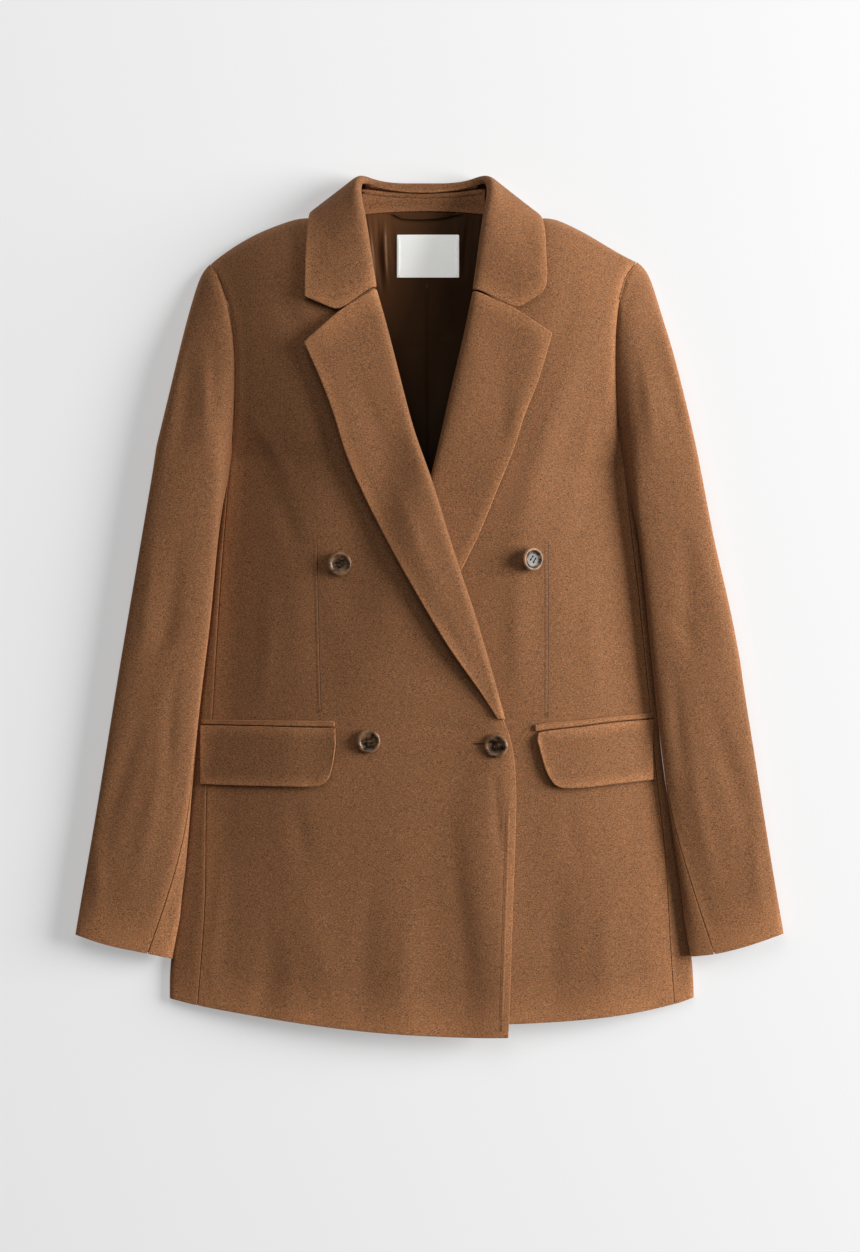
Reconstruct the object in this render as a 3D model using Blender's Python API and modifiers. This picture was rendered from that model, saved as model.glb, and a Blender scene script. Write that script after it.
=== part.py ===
"""Double breasted blazer, laid flat on its back, one closed shell for each cut piece.

Sizes are in millimetres and become metres where a mesh is made. X runs across the garment,
Y from the hem to the collar, Z up from the surface that the garment lies on. "right" and
"left" are the wearer's, so the right front, which laps over the left one, has negative X.
"""
from bisect import bisect_right
from math import acos, cos, hypot, pi, radians, sin, sqrt

import bmesh
import bpy
from mathutils import Euler, Vector

# ---------------------------------------------------------------- driving dimensions
MM = 0.001
CLOTH = 1.6             # wall of a front, back, side or sleeve
FOLDED_CLOTH = 2.0      # wall of a lapel, collar, flap or welt: cloth turned on itself
LINING_CLOTH = 1.0
SEAM = 0.4              # gap between two pieces that are sewn edge to edge
CONTACT = 0.6           # gap between a piece and the cloth it lies on
FOLD_DEPTH = 7.0        # how far the round of the side fold reaches in
SIDE_CLIMB = 115.0      # distance over which a front climbs from the side fold
SHOULDER_CLIMB = 60.0   # distance over which it climbs from the shoulder line
SHOULDER_SEAM = 2.9     # height of the shoulder seam
ARMHOLE_INSET = 1.0     # how far the back ends inside the front's armhole
BACK_REACH = 0.972      # and how much of the armhole's length it runs up
SHOULDER_INSET = 2.2    # how far the back ends inside the shoulder's outline
COLLAR_SEAM = 11.0      # height of the collar's outermost line at the neck
COLLAR_CORNER = 16.0    # height of its roll where it turns down behind the neck
FALL_BED = 3.0          # room that the collar's fall takes under the back
LAPEL_LIFT = 6.5        # top face of a lapel over its front
UNDER_LIFT = 3.6        # the same where the other front presses on it
LAPEL_FLARE = {"right": 3.2, "left": 0.0}  # how much further its outer edge stands off
ROLL_ROOM = 1.5         # gap under a front to the inner turn of its lapel
FOOT_LIFT = 3.6         # lift and room at the lapel's foot, where it runs into the front's edge
FOOT_ROOM = 0.6
GORGE_GAP = 0.7         # each side of the seam between a lapel and the collar
DRAPE_PITCH = 95.0      # from crest to crest of the soft folds above the hem
DRAPE_CREST = -31.0
TO_MIDDLE = Vector((0.45, 0.8, 0.0))    # from the tables' origin to the middle of the outline
BUTTON_DEPTH = 3.8
BUTTON_HOLE_RADIUS = 1.1
BUTTON_HOLE_OFFSET = 1.8

SIGN = {"right": -1.0, "left": 1.0}
FRONT_SHARES = (0, 0.08, 0.18, 0.3, 0.42, 0.54, 0.65, 0.75, 0.83, 0.9, 0.95, 1)   # of a front's width
ARM_STEPS = 10          # steps along half an armhole
UNDER_STEPS = 8         # of those below, how many belong to the under sleeve
SLEEVE_ROWS = (0, 0.02, 0.05, 0.09, 0.14, 0.2, 0.28, 0.36, 0.44, 0.52, 0.6, 0.68, 0.76, 0.84, 0.92, 1)

# height above the hem's level: side fold, top of the body, depth of the soft folds
LEVELS = (
    # y,   side fold, body, drape
    (-390, 8.0, 20.0, 1.5),
    (-300, 8.5, 24.0, 1.2),
    (-160, 9.0, 31.0, 0.6),
    (-60, 9.5, 35.0, 0.2),
    (60, 10.0, 39.0, 0.0),
    (180, 10.0, 43.0, 0.0),
    (280, 10.0, 44.0, 0.0),
    (390, 10.0, 40.0, 0.0),
)
FOLD_COLUMN, BODY_COLUMN, DRAPE_COLUMN = 1, 2, 3

# the line that the sides fold on, which runs on under the sleeve heads above the armpit
SIDE_FOLD = {
    "right": (
        # y,  x
        (-354, -234.4), (-316, -234.2), (-288, -229.1), (-257, -224.1), (-212, -219.6),
        (-162, -214.6), (-94, -207.0), (-15, -197.0), (41, -191.8), (59, -189.0), (77, -185.8),
        (96, -182.8), (114, -180.4), (130, -179.0), (142, -187.2), (158, -196.2), (194, -208.8),
        (226, -216.0), (275, -220.5), (309, -225.0),
    ),
    "left": (
        (-352, 237.6), (-316, 236.3), (-288, 232.2), (-226, 222.6), (-167, 212.9), (-94, 203.4),
        (-27, 196.4), (41, 189.2), (63, 185.0), (80, 181.6), (95, 179.0), (108, 177.2),
        (120, 176.0), (135, 181.8), (158, 190.8), (198, 201.6), (230, 207.0), (275, 210.6),
        (309, 215.1),
    ),
}
UNDER_SLEEVE = (
    # y,  how far the fold runs on under the sleeve
    (-130, 0.0), (-90, 1.2), (-20, 1.5), (40, 1.5), (80, 2.0), (105, 1.5), (125, 0.0),
)
# seam between a front and its side panel, then the front of the armhole
SIDE_SEAM = {
    "right": (
        # y,  x
        (-359, -208.8), (-266, -201.6), (-164, -200.7), (-94, -194.8), (-31, -191.4), (13, -188.4),
        (41, -186.2), (59, -184.4), (77, -182.2), (96, -180.0), (114, -178.2), (130, -177.0),
    ),
    "left": (
        (-358, 219.6), (-297, 215.1), (-226, 212.0), (-156, 203.6), (-94, 197.8), (-31, 191.4),
        (32, 184.8), (63, 180.4), (80, 178.0), (95, 176.0), (108, 174.6), (120, 173.8),
    ),
}
ARMHOLE = {
    "right": (
        # x,  y, from the armpit to the shoulder
        (-179.2, 130), (-175.8, 162), (-174.6, 194), (-174.2, 226), (-176.8, 252), (-182.7, 277),
        (-189.5, 296), (-197.6, 307),
    ),
    "left": (
        (176.2, 120), (171.4, 142), (167.8, 171), (166.2, 206), (166.1, 240), (169.2, 272),
        (174.6, 293), (185.8, 309),
    ),
}
SHOULDER = {
    "right": (
        # x,  y, from the centre out; only the stretch outside the collar shows
        (-6.3, 364), (-38, 363), (-61, 357), (-76, 352), (-92, 348.5), (-104, 348.0), (-111, 349.6),
        (-118, 348.6), (-125.6, 346.0), (-137.7, 342.0), (-151.6, 336.4), (-165.6, 329.4),
        (-185, 317), (-197.6, 307),
    ),
    "left": (
        (-6.3, 364), (26, 363), (49, 357), (66, 352), (82, 348), (94, 347.2), (102, 349.4),
        (107, 349.2), (113.4, 347.4), (129.6, 340.2), (145.8, 331.4), (158.8, 323.4),
        (171.7, 315.8), (185.8, 309),
    ),
}

# free edge of each front up to the break, then the line that its lapel rolls on
FRONT_EDGE = {
    "right": (
        # y,  x
        (-387, 70.2), (-342, 72.0), (-277, 73.8), (-211, 76.3), (-184, 77.2), (-142, 76.5),
        (-126, 74.4), (-108, 69.3),
    ),
    "left": (
        (-376, -66.6), (-342, -68.4), (-277, -70.2), (-211, -72.5), (-184, -73.4), (-142, -72.5),
        (-126, -70.2), (-108, -65.7),
    ),
}
ROLL_LINE = {
    "right": (
        # y,  x
        (-108, 69.3), (-52, 54.0), (-4, 39.6), (33, 27.0), (72, 14.4), (114, 1.8), (151, -12.2),
        (193, -23.4), (245, -36.6), (282, -46.8), (348, -56.2), (364, -60.0),
    ),
    "left": (
        (-108, -65.7), (-54, -50.4), (0, -34.2), (54, -18.0), (118, 0.9), (189, 17.1),
        (245, 30.2), (279, 37.8), (318, 44.1), (348, 47.5), (364, 49.0),
    ),
}
BREAK_LEVEL = -108.0
ROLL_TUCK = 4.4         # how far a front's edge stays behind the roll that covers it
NECK_TUCK = 16.0        # and further behind the collar's roll, at the seam of its stand
LAPEL_EDGE = {
    "right": (
        # x,  y, from the peak down to the break
        (-112.5, 234), (-102.2, 212), (-83.7, 164), (-80.5, 149), (-43.2, 66), (-10.3, 7),
        (18.6, -41), (49.5, -84), (56.0, -95.0), (59.8, -101.5),
    ),
    "left": (
        (108.9, 242), (96.3, 199), (81.5, 162), (78.3, 149), (60.3, 104), (45.9, 68), (27.9, 31),
        (18.0, 14),
    ),
}
GORGE_START = {"right": (-46.8, 282.0), "left": (37.4, 280.0)}
NOTCH = {"right": (-81.9, 261.5), "left": (77.9, 263.0)}
LAPEL_END = {"right": -101.5, "left": 70.0}

# how far the right front stands over the left one where it laps over it
LAP_LIFT = (
    # y,  lift
    (-390, 2.8), (-150, 2.8), (-120, 3.8), (-96, 5.8), (118, 5.8), (165, 4.0), (230, 0.0),
    (300, 0.0),
)
LAP_REACH = 40.0                # distance over which it climbs to pass over the left front
LAP_OVER_LAPEL = 0.52           # raised further by this share where the left lapel lies between
LAP_STEP = 30.0                 # over this distance past the left lapel's foot
LAPEL_FOOT = ((-12.6, 70.0), (18.0, 14.0))     # lower end of the left lapel, under the right one
UNDER_LAPEL_LIFT = ((0, UNDER_LIFT), (118, UNDER_LIFT), (190, LAPEL_LIFT), (300, LAPEL_LIFT))

# y levels of the rows below the armpit: at the side, and at the free edge
ROW_LEVELS = (
    # right side, right edge, left side, left edge
    (-359, -387, -358, -376),
    (-322, -345, -322, -340),
    (-280, -295, -280, -293),
    (-240, -250, -240, -248),
    (-200, -206, -200, -205),
    (-165, -168, -165, -168),
    (-135, -136, -135, -136),
    (-107, -110, -107, -109),
    (-90, -101, -90, -97),
    (-55, -60, -55, -60),
    (-15, -18, -15, -18),
    (6, 4, 6, 4),
    (25, 24, 25, 24),
    (43, 43, 43, 42),
    (60, 62, 60, 60),
    (96, 98, 92, 94),
    (130, 130, 120, 122),
)
SIDE_LEVEL = {"right": 0, "left": 2}
EDGE_LEVEL = {"right": 1, "left": 3}
TOP_EDGE_LEVEL = 351.0
ARMPIT_ROW = len(ROW_LEVELS) - 1
BODY_ROWS = ARMPIT_ROW + ARM_STEPS

BACK_HEM = -372.0       # the back's hem stays above this, out of sight behind the fronts
HEM = {
    "right": (
        # x,  y
        (-234.4, -353), (-208.8, -359), (-164.2, -367), (-99.0, -377), (-55.8, -382),
        (-12.1, -385), (31.5, -387), (70.2, -387),
    ),
    "left": (
        (-66.6, -376), (70.8, -375), (99.0, -374), (169.2, -368), (219.6, -358), (237.6, -352),
    ),
}
# how far the side panel reaches round under the back
BACK_SEAM = (
    # y,  distance from the side fold
    (-360, 46), (-160, 40), (0, 30), (60, 18), (96, 10), (120, 8.5), (130, 8.5),
)

SLEEVE_OUTER = {
    "right": (
        # x,  y, from the shoulder to the cuff
        (-197.6, 307), (-202.5, 304), (-211.5, 281), (-223.2, 235), (-234.0, 189), (-243.5, 151),
        (-252.9, 100), (-262.8, 41), (-276.8, -41), (-296.5, -164), (-309.1, -240),
        (-315.5, -271), (-318.6, -295),
    ),
    "left": (
        (185.8, 309), (190.8, 307), (198.0, 296), (204.3, 272), (216.0, 235), (227.7, 189),
        (236.7, 153), (248.4, 91), (258.3, 41), (270.5, -7), (281.7, -72), (293.0, -142),
        (306.9, -232), (317.7, -294),
    ),
}
SLEEVE_INNER = {
    "right": (
        # x,  y, from the armpit to the cuff
        (-179.2, 130), (-186.3, 96), (-191.7, 41), (-196.6, -15), (-206.5, -94), (-212.4, -162),
        (-216.0, -212), (-220.5, -257), (-230.4, -317),
    ),
    "left": (
        (176.2, 120), (184.4, 80), (189.4, 41), (196.2, -27), (203.0, -94), (211.5, -167),
        (219.6, -226), (232.6, -315),
    ),
}
CUFF = {
    "right": (
        # x,  y, from the outer to the inner corner
        (-318.6, -295), (-290.7, -304), (-252.9, -312), (-230.4, -317),
    ),
    "left": (
        (317.7, -294), (281.7, -306), (252.0, -313), (232.6, -315),
    ),
}
# sections of a sleeve
SLEEVE_FORM = (
    # share of length, thickness, angle of the forearm seam
    (0.0, 28, 180), (0.14, 30, 178), (0.35, 29, 176), (0.55, 27, 172), (0.7, 25, 160),
    (0.85, 23, 137), (1.0, 21, 119),
)
SLEEVE_THICKNESS, FOREARM_ANGLE = 1, 2
SLEEVE_SEAM = 0.6       # gap between its two pieces
SLEEVE_EDGE = 0.64      # height of a sleeve's two edges, as a share of its thickness
SLEEVE_FULLNESS = 0.68  # 1 for a round section, less for one with a flatter top
SLEEVE_BASE = 1.08      # 1 for a round underside, more for one that rests on a wider strip
SLEEVE_MOUTH = 0.16     # share of the length over which the crown opens to its full section
HEAD_RISE, HEAD_START, HEAD_FADE = 2.4, 0.03, 0.09      # the wadded head just below the armhole seam

# sections of the collar from the gorge to the centre back: how far the section has turned
# from the front face (0) over the neck (90) to the underside (180), the radius of its roll,
# the reach of its stand, and the middle of the roll and the outer edge on each side
COLLAR_SECTIONS = (
    # turn, roll, stand, right core x, y, right edge x, y, left core x, y, left edge x, y
    (0, 5.7, 12, -52.4, 282.6, -111.6, 274.5, 42.9, 280.6, 104.4, 281.5),
    (0, 6.0, 9, -56.2, 304.0, -111.6, 293.0, 46.3, 302.5, 104.2, 298.0),
    (0, 6.4, 7, -60.6, 333.2, -111.0, 316.0, 50.4, 331.5, 103.7, 318.0),
    (0, 7.0, 6, -64.4, 351.0, -110.3, 334.0, 54.0, 350.5, 103.2, 334.0),
    (25, 6.4, 3, -66.9, 366.4, -109.3, 346.0, 56.4, 365.6, 101.8, 345.0),
    (60, 5.4, 3, -66.2, 376.3, -108.4, 351.5, 55.7, 376.3, 99.4, 349.8),
    (95, 4.6, 2, -63.3, 382.5, -107.4, 354.0, 51.9, 382.4, 96.6, 353.0),
    (140, 4.8, 3, -57.8, 381.8, -105.4, 351.4, 45.2, 382.0, 94.0, 350.4),
    (180, 6.0, 4, -49.0, 378.2, -98.0, 345.5, 37.0, 378.2, 86.0, 345.0),
    (180, 6.0, 4, -34.0, 375.4, -69.0, 337.5, 22.0, 375.4, 56.5, 337.5),
    (180, 6.0, 4, -20.0, 374.3, -37.0, 333.0, 7.5, 374.3, 25.0, 333.0),
    (180, 6.0, 4, -6.3, 374.0, -6.3, 331.5, -6.3, 374.0, -6.3, 331.5),
)
CORE_COLUMN = {"right": 3, "left": 7}
COLLAR_CREST = (
    # x,  y of the collar's outermost line
    (-113, 350.5), (-107, 354.0), (-87, 368.5), (-66, 385.0), (-61, 387.0), (50, 387.0),
    (55, 384.5), (77, 367.0), (96, 353.0), (106, 347.5),
)
COLLAR_NORMAL = {"right": (-0.64, 0.77), "left": (0.63, 0.78)}
COLLAR_CLIMB = 62.0

FALL_EDGE = (
    # x,  y of the collar's outer edge under the back
    (-110, 346), (-98, 343), (-69, 335), (-37, 330.5), (-6.3, 329), (25, 330.5), (56, 335),
    (86, 343), (100, 346),
)

FACING_ROWS = (
    # y at the centre, dip towards the sides, top face
    (372.2, 1.6, 9.2), (361.0, -1.5, 8.4), (354.0, -3.0, 7.6),
)
FACING_ENDS = (-61.5, 49.5)
FACING_CLOTH = 1.2
LINING_ROWS = (
    # y,   right end, left end, top face
    (352.5, -70, 58, 7.2), (330, -68, 56, 7.0), (300, -62, 53, 6.2), (260, -54, 48, 4.2),
    (215, -44, 38, 3.4), (165, -32, 26, 3.4), (115, -18, 16, 3.4),
)
LINING_COLUMNS = 14
LINING_DIP = 2.4        # how far the lining's top edge sags at its two ends
PLEATS = (
    # x,   width, height of a pleat below the neck facing
    (-52, 4.0, 1.6), (-40, 4.5, 1.3), (32, 5.0, 1.0),
)
PLEAT_END = 285.0
LOOP_EDGES = (
    # share of its length, lower edge x, y, upper edge x, y, top face over the lining
    (0.0, -26.0, 347.2, -34.0, 352.0, 2.4),
    (0.2, -16.0, 346.5, -20.0, 352.5, 2.9),
    (0.5, -4.0, 346.6, -2.0, 352.7, 3.2),
    (0.8, 9.0, 347.4, 18.0, 352.4, 2.9),
    (1.0, 17.5, 348.6, 30.0, 351.8, 2.4),
)
LOOP_CLOTH = 1.2
LABEL_X = (-29.7, 26.1)
LABEL_Y = (294.5, 333.0)
LABEL_TAPE = 1.0

# jetted pocket with a flap: x of its ends and the y of its edges there
WELT = {
    "right": (
        # x,  top, bottom
        (-205.6, -102.4, -106.6), (-137, -102.8, -107.8), (-85, -103.2, -108.6),
    ),
    "left": (
        (93.6, -106.6, -112.6), (99.9, -105.0, -111.6), (130.5, -102.8, -108.2),
        (162.0, -99.2, -104.2), (200.4, -96.6, -101.4),
    ),
}
FLAP = {
    "right": (
        # x,  top, bottom
        (-206.4, -107.4, -160.2), (-180, -107.6, -161.0), (-137, -108.4, -161.6),
        (-112, -109.0, -162.0), (-101.0, -109.2, -161.6), (-92.5, -109.3, -158.6),
        (-88.0, -109.3, -151.5), (-84.6, -109.4, -124.0),
    ),
    "left": (
        (96.2, -113.6, -120.0), (101.0, -112.4, -139.0), (105.0, -111.8, -153.0),
        (110.0, -111.2, -160.4), (117.0, -110.4, -163.4), (133.0, -108.8, -163.2),
        (162.0, -105.2, -160.2), (200.6, -102.0, -156.2),
    ),
}
FLAP_LIFT = {"right": (3.4, 4.6), "left": (3.4, 6.2)}   # top face at its seam and lower edge
WELT_LIFT = 3.0
FLAP_ROWS = 5
NARROWEST_COLUMN = 2.5

BUTTONS = (
    # name, x, y, front, tilt towards +X in degrees, height over the cloth
    ("button_right_upper", -80.5, 37.0, "right", 4, 1.4),
    ("button_right_lower", -54.9, -121.0, "right", 3, 1.3),
    ("button_left_upper", 90.5, 41.0, "left", 24, 4.0),
    ("button_fastened", 59.0, -125.0, "right", -8, 1.4),
)
BUTTON_PROFILE = (
    # radius, height: from the middle of the top, over the rim, to the middle of the base
    (0.0, 2.4), (6.4, 2.4), (7.4, 3.3), (8.8, 3.8), (10.3, 3.2), (10.8, 2.2), (9.6, 0.5),
    (8.0, 0.0), (0.0, 0.0),
)
BUTTON_SEGMENTS = 22

CLOTH_BROWN = (0.205, 0.098, 0.048)
FOLD_BROWN = (0.215, 0.104, 0.052)
SATIN_BROWN = (0.095, 0.040, 0.018)
LABEL_WHITE = (0.72, 0.74, 0.71)
HORN = (0.060, 0.036, 0.024)


# ---------------------------------------------------------------- curves from tables
def smooth(rows, at, column=1):
    """Read a column of a table at a place in its first column, on a smooth curve."""
    places = [row[0] for row in rows]
    if places[0] > places[-1]:
        return smooth(rows[::-1], at, column)
    at = min(max(at, places[0]), places[-1])
    low = min(bisect_right(places, at), len(rows) - 1) - 1
    rises = [(high_row[column] - low_row[column]) / (high_row[0] - low_row[0])
             for low_row, high_row in zip(rows, rows[1:])]

    def slope(index):
        before = rises[max(index - 1, 0)]
        after = rises[min(index, len(rises) - 1)]
        return 0.0 if before * after < 0 else (before + after) / 2

    span = places[low + 1] - places[low]
    share = (at - places[low]) / span
    start, end = rows[low][column], rows[low + 1][column]
    return (start * (1 + 2 * share) * (1 - share) ** 2
            + slope(low) * span * share * (1 - share) ** 2
            + end * (3 - 2 * share) * share ** 2
            - slope(low + 1) * span * (1 - share) * share ** 2)


def by_length(points):
    """A path's points as a table whose first column is the share of its length."""
    lengths = [0.0]
    for first, second in zip(points, points[1:]):
        lengths.append(lengths[-1] + hypot(second[0] - first[0], second[1] - first[1]))
    return [(length / lengths[-1], *point) for length, point in zip(lengths, points)]


def on_path(table, share):
    return Vector((smooth(table, share, 1), smooth(table, share, 2)))


def mix(start, end, share):
    return start + (end - start) * share


def ease(share):
    share = min(max(share, 0.0), 1.0)
    return share * share * (3 - 2 * share)


def round_over(share):
    """Quarter of an ellipse: 0 at the edge, where it stands upright, and 1 from share 1 on."""
    share = min(max(share, 0.0), 1.0)
    return sqrt(1 - (1 - share) ** 2)


# ---------------------------------------------------------------- the body's faces
def side_fold(side, y):
    """Where the body folds at its side."""
    return smooth(SIDE_FOLD[side], y) + SIGN[side] * smooth(UNDER_SLEEVE, y)


def fold_distance(x, y):
    """Distance of a point from the nearer side fold."""
    return min(x - side_fold("right", y), side_fold("left", y) - x)


def fall_bed(x, y):
    """Room left under the back where the collar's fall lies below it."""
    reach = ease((y - smooth(FALL_EDGE, x) + 14) / 12)
    ends = ease((x - FALL_EDGE[0][0] + 12) / 10) * ease((FALL_EDGE[-1][0] + 12 - x) / 10)
    return FALL_BED * reach * ends


def open_level(x, y):
    """Outer face of a front before the shoulder rounds it off."""
    fold = smooth(LEVELS, y, FOLD_COLUMN)
    body = smooth(LEVELS, y, BODY_COLUMN)
    distance = fold_distance(x, y)
    if distance < FOLD_DEPTH:
        return fold / 2 + fold / 2 * round_over(distance / FOLD_DEPTH)
    climb = sin(pi / 2 * min(1.0, (distance - FOLD_DEPTH) / SIDE_CLIMB))
    drape = smooth(LEVELS, y, DRAPE_COLUMN) * cos(2 * pi * (x - DRAPE_CREST) / DRAPE_PITCH)
    return fold + (body - fold + drape) * climb


def shoulder_level(x):
    table = SHOULDER["right"] if x < SHOULDER["right"][0][0] else SHOULDER["left"]
    return smooth(table, x)


def front_level(x, y):
    """Outer face of the left front, and of the right front where it lies alone."""
    below = 0.92 * (shoulder_level(x) - y)
    seam = SHOULDER_SEAM + fall_bed(x, y)
    return seam + (open_level(x, y) - seam) * round_over(below / SHOULDER_CLIMB)


def inner_line(side, y):
    """The front's free edge, or above the break the line that its lapel rolls on."""
    table = FRONT_EDGE[side] if y < BREAK_LEVEL else ROLL_LINE[side]
    return smooth(table, y)


def lap_level(x, y):
    """Outer face of the right front, raised where it laps over the left one."""
    (start_x, start_y), (end_x, end_y) = LAPEL_FOOT
    length = hypot(end_x - start_x, end_y - start_y)
    beyond = ((x - start_x) * (start_y - end_y) + (y - start_y) * (end_x - start_x)) / length
    along = ((x - start_x) * (end_x - start_x) + (y - start_y) * (end_y - start_y)) / length
    over = ease((beyond + 4) / LAP_STEP + 1) * (1 - ease((along - length - 4) / LAP_STEP))
    reach = ease((x - inner_line("left", y) + LAP_REACH) / (LAP_REACH - 4))
    lift = smooth(LAP_LIFT, y) * (1 + LAP_OVER_LAPEL * over)
    return front_level(x, y) + lift * reach


PANEL_LEVEL = {"right": lap_level, "left": front_level}


def level_facing(level, x, y, step=0.4):
    """Direction out of the cloth whose outer face is level(x, y)."""
    rise_x = (level(x + step, y) - level(x - step, y)) / (2 * step)
    rise_y = (level(x, y + step) - level(x, y - step)) / (2 * step)
    return Vector((-rise_x, -rise_y, 1.0)).normalized()


# ---------------------------------------------------------------- making objects
def clear_scene():
    for thing in list(bpy.data.objects):
        bpy.data.objects.remove(thing, do_unlink=True)


def new_collection(name):
    collection = bpy.data.collections.new(name)
    bpy.context.scene.collection.children.link(collection)
    return collection


def new_material(name, colour, roughness, metallic=0.0):
    material = bpy.data.materials.new(name)
    material.use_nodes = True
    surface = material.node_tree.nodes["Principled BSDF"]
    surface.inputs["Base Color"].default_value = (*colour, 1.0)
    surface.inputs["Roughness"].default_value = roughness
    surface.inputs["Metallic"].default_value = metallic
    material.diffuse_color = (*colour, 1.0)
    return material


def add_object(name, mesh, collection, finish):
    mesh.materials.clear()
    mesh.materials.append(new_material(name, *finish))
    thing = bpy.data.objects.new(name, mesh)
    collection.objects.link(thing)
    return thing


def cloth_sheet(name, columns, rows, place, wall, collection, finish, over=False, facing=None):
    """Lay a grid of columns and rows where place(column, row) says, and give it a wall.

    The wall grows down from the grid, or up from it where over is set. Panels that are sewn
    edge to edge pass facing(column, row), the direction out of the cloth, so that the walls
    of both stand parallel along their seam.
    """
    shape = bmesh.new()
    bmesh.ops.create_grid(shape, x_segments=columns, y_segments=rows, size=0.5)
    cell = shape.verts.layers.int.new("cell")
    for vertex in shape.verts:
        column = round((vertex.co.x + 0.5) * columns)
        row = round((vertex.co.y + 0.5) * rows)
        vertex[cell] = row * (columns + 1) + column
        vertex.co = (Vector(place(column, row)) + TO_MIDDLE) * MM
    if facing:
        made = bmesh.ops.extrude_face_region(shape, geom=shape.faces[:])
        for corner in made["geom"]:
            if isinstance(corner, bmesh.types.BMVert):
                row, column = divmod(corner[cell], columns + 1)
                corner.co -= facing(column, row) * wall * MM
        bmesh.ops.recalc_face_normals(shape, faces=shape.faces[:])
    elif over:
        bmesh.ops.reverse_faces(shape, faces=shape.faces[:])
    mesh = bpy.data.meshes.new(name)
    shape.to_mesh(mesh)
    shape.free()
    thing = add_object(name, mesh, collection, finish)
    if not facing:
        thickness = thing.modifiers.new("wall", "SOLIDIFY")
        thickness.thickness = wall * MM
        thickness.offset = -1.0
    mesh.shade_smooth()
    return thing


# ---------------------------------------------------------------- body panels
def armhole_point(side, step):
    """Point of the armhole, with the steps closer together at its two ends."""
    share = 0.5 - 0.5 * cos(pi * step / ARM_STEPS)
    return on_path(by_length(ARMHOLE[side]), share)


def side_point(side, row):
    """Where a front's outer edge lies on a row: the side seam, then the armhole."""
    if row > ARMPIT_ROW:
        return armhole_point(side, row - ARMPIT_ROW)
    y = ROW_LEVELS[row][SIDE_LEVEL[side]]
    return Vector((smooth(SIDE_SEAM[side], y), y))


def free_edge_point(side, row):
    """Where a front's inner edge lies on a row, tucked into the lapel's roll above the break."""
    if row <= ARMPIT_ROW:
        y = ROW_LEVELS[row][EDGE_LEVEL[side]]
    else:
        outer = armhole_point(side, row - ARMPIT_ROW).y
        start, end = ARMHOLE[side][0][1], ARMHOLE[side][-1][1]
        y = mix(ROW_LEVELS[-1][EDGE_LEVEL[side]], TOP_EDGE_LEVEL, (outer - start) / (end - start))
    behind_roll = ROLL_TUCK * ease((y - BREAK_LEVEL) / 10)
    behind_stand = NECK_TUCK * ease((y - GORGE_START[side][1] - 4) / 40)
    return Vector((inner_line(side, y) + SIGN[side] * (behind_roll + behind_stand), y))


def edge_bow(side, point, row, start, end):
    """How far the hem or the shoulder bows from the straight line between a row's ends."""
    if row <= ARMPIT_ROW:
        table, fade = HEM[side], (1 - row / ARMPIT_ROW) ** 3
    else:
        table, fade = SHOULDER[side], ((row - ARMPIT_ROW) / ARM_STEPS) ** 2
    bow = smooth(table, point.x) - point.y
    ends = (smooth(table, start.x) - start.y, smooth(table, end.x) - end.y)
    share = (point.x - start.x) / (end.x - start.x)
    return (bow - mix(ends[0], ends[1], share)) * fade


def add_front(side, collection):
    columns = len(FRONT_SHARES) - 1
    level = PANEL_LEVEL[side]

    def place(column, row):
        share = FRONT_SHARES[column if side == "right" else columns - column]
        outer = side_point(side, row)
        inner = free_edge_point(side, row)
        point = outer.lerp(inner, share)
        point.y += edge_bow(side, point, row, outer, inner)
        return point.x, point.y, level(point.x, point.y)

    def facing(column, row):
        x, y, _ = place(column, row)
        return level_facing(level, x, y)

    return cloth_sheet("front_" + side, columns, BODY_ROWS, place, CLOTH, collection,
                       (CLOTH_BROWN, 0.85), facing=facing)


def add_side_panel(side, collection):
    """Strip round the side fold, from its seam on the front to its seam under the back."""
    upper, bend, lower = 3, 5, 3
    quarter = pi / 2 * FOLD_DEPTH * 0.9

    def unrolled(distance):
        if distance >= FOLD_DEPTH:
            return quarter + distance - FOLD_DEPTH
        return quarter * acos(1 - distance / FOLD_DEPTH) / (pi / 2)

    def locate(column, row):
        """Point of the panel and the direction out of its cloth."""
        seam = side_point(side, row)
        y = seam.y
        edge = side_fold(side, y)
        start = unrolled(max(abs(edge - seam.x) - SEAM, 0.6))
        bend_start = min(quarter, start / 2)
        end = -quarter - max(smooth(BACK_SEAM, y) - FOLD_DEPTH, 0.2)
        if column <= upper:
            at = mix(start, bend_start, column / upper)
        elif column <= upper + bend:
            at = mix(bend_start, -quarter, (column - upper) / bend)
        else:
            at = mix(-quarter, end, (column - upper - bend) / lower)
        fold = smooth(LEVELS, y, FOLD_COLUMN)
        out = Vector((0.0, 0.0, -1.0))
        if abs(at) < quarter:
            angle = at / quarter * pi / 2
            x = edge - SIGN[side] * FOLD_DEPTH * (1 - cos(angle))
            z = fold / 2 * (1 + sin(angle))
            out = Vector((SIGN[side] * fold / 2 * cos(angle), 0.0, FOLD_DEPTH * sin(angle))).normalized()
        else:
            x = edge - SIGN[side] * (FOLD_DEPTH + abs(at) - quarter)
            z = front_level(x, y) if at > 0 else 0.0
            if at > 0:
                out = level_facing(front_level, x, y)
        if row == 0:
            y = smooth(HEM[side], x)
        return Vector((x, y, z)), out

    columns = upper + bend + lower
    return cloth_sheet("side_panel_" + side, columns, ARMPIT_ROW,
                       lambda column, row: locate(column, row)[0], CLOTH, collection,
                       (CLOTH_BROWN, 0.85), facing=lambda column, row: locate(column, row)[1])


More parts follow.
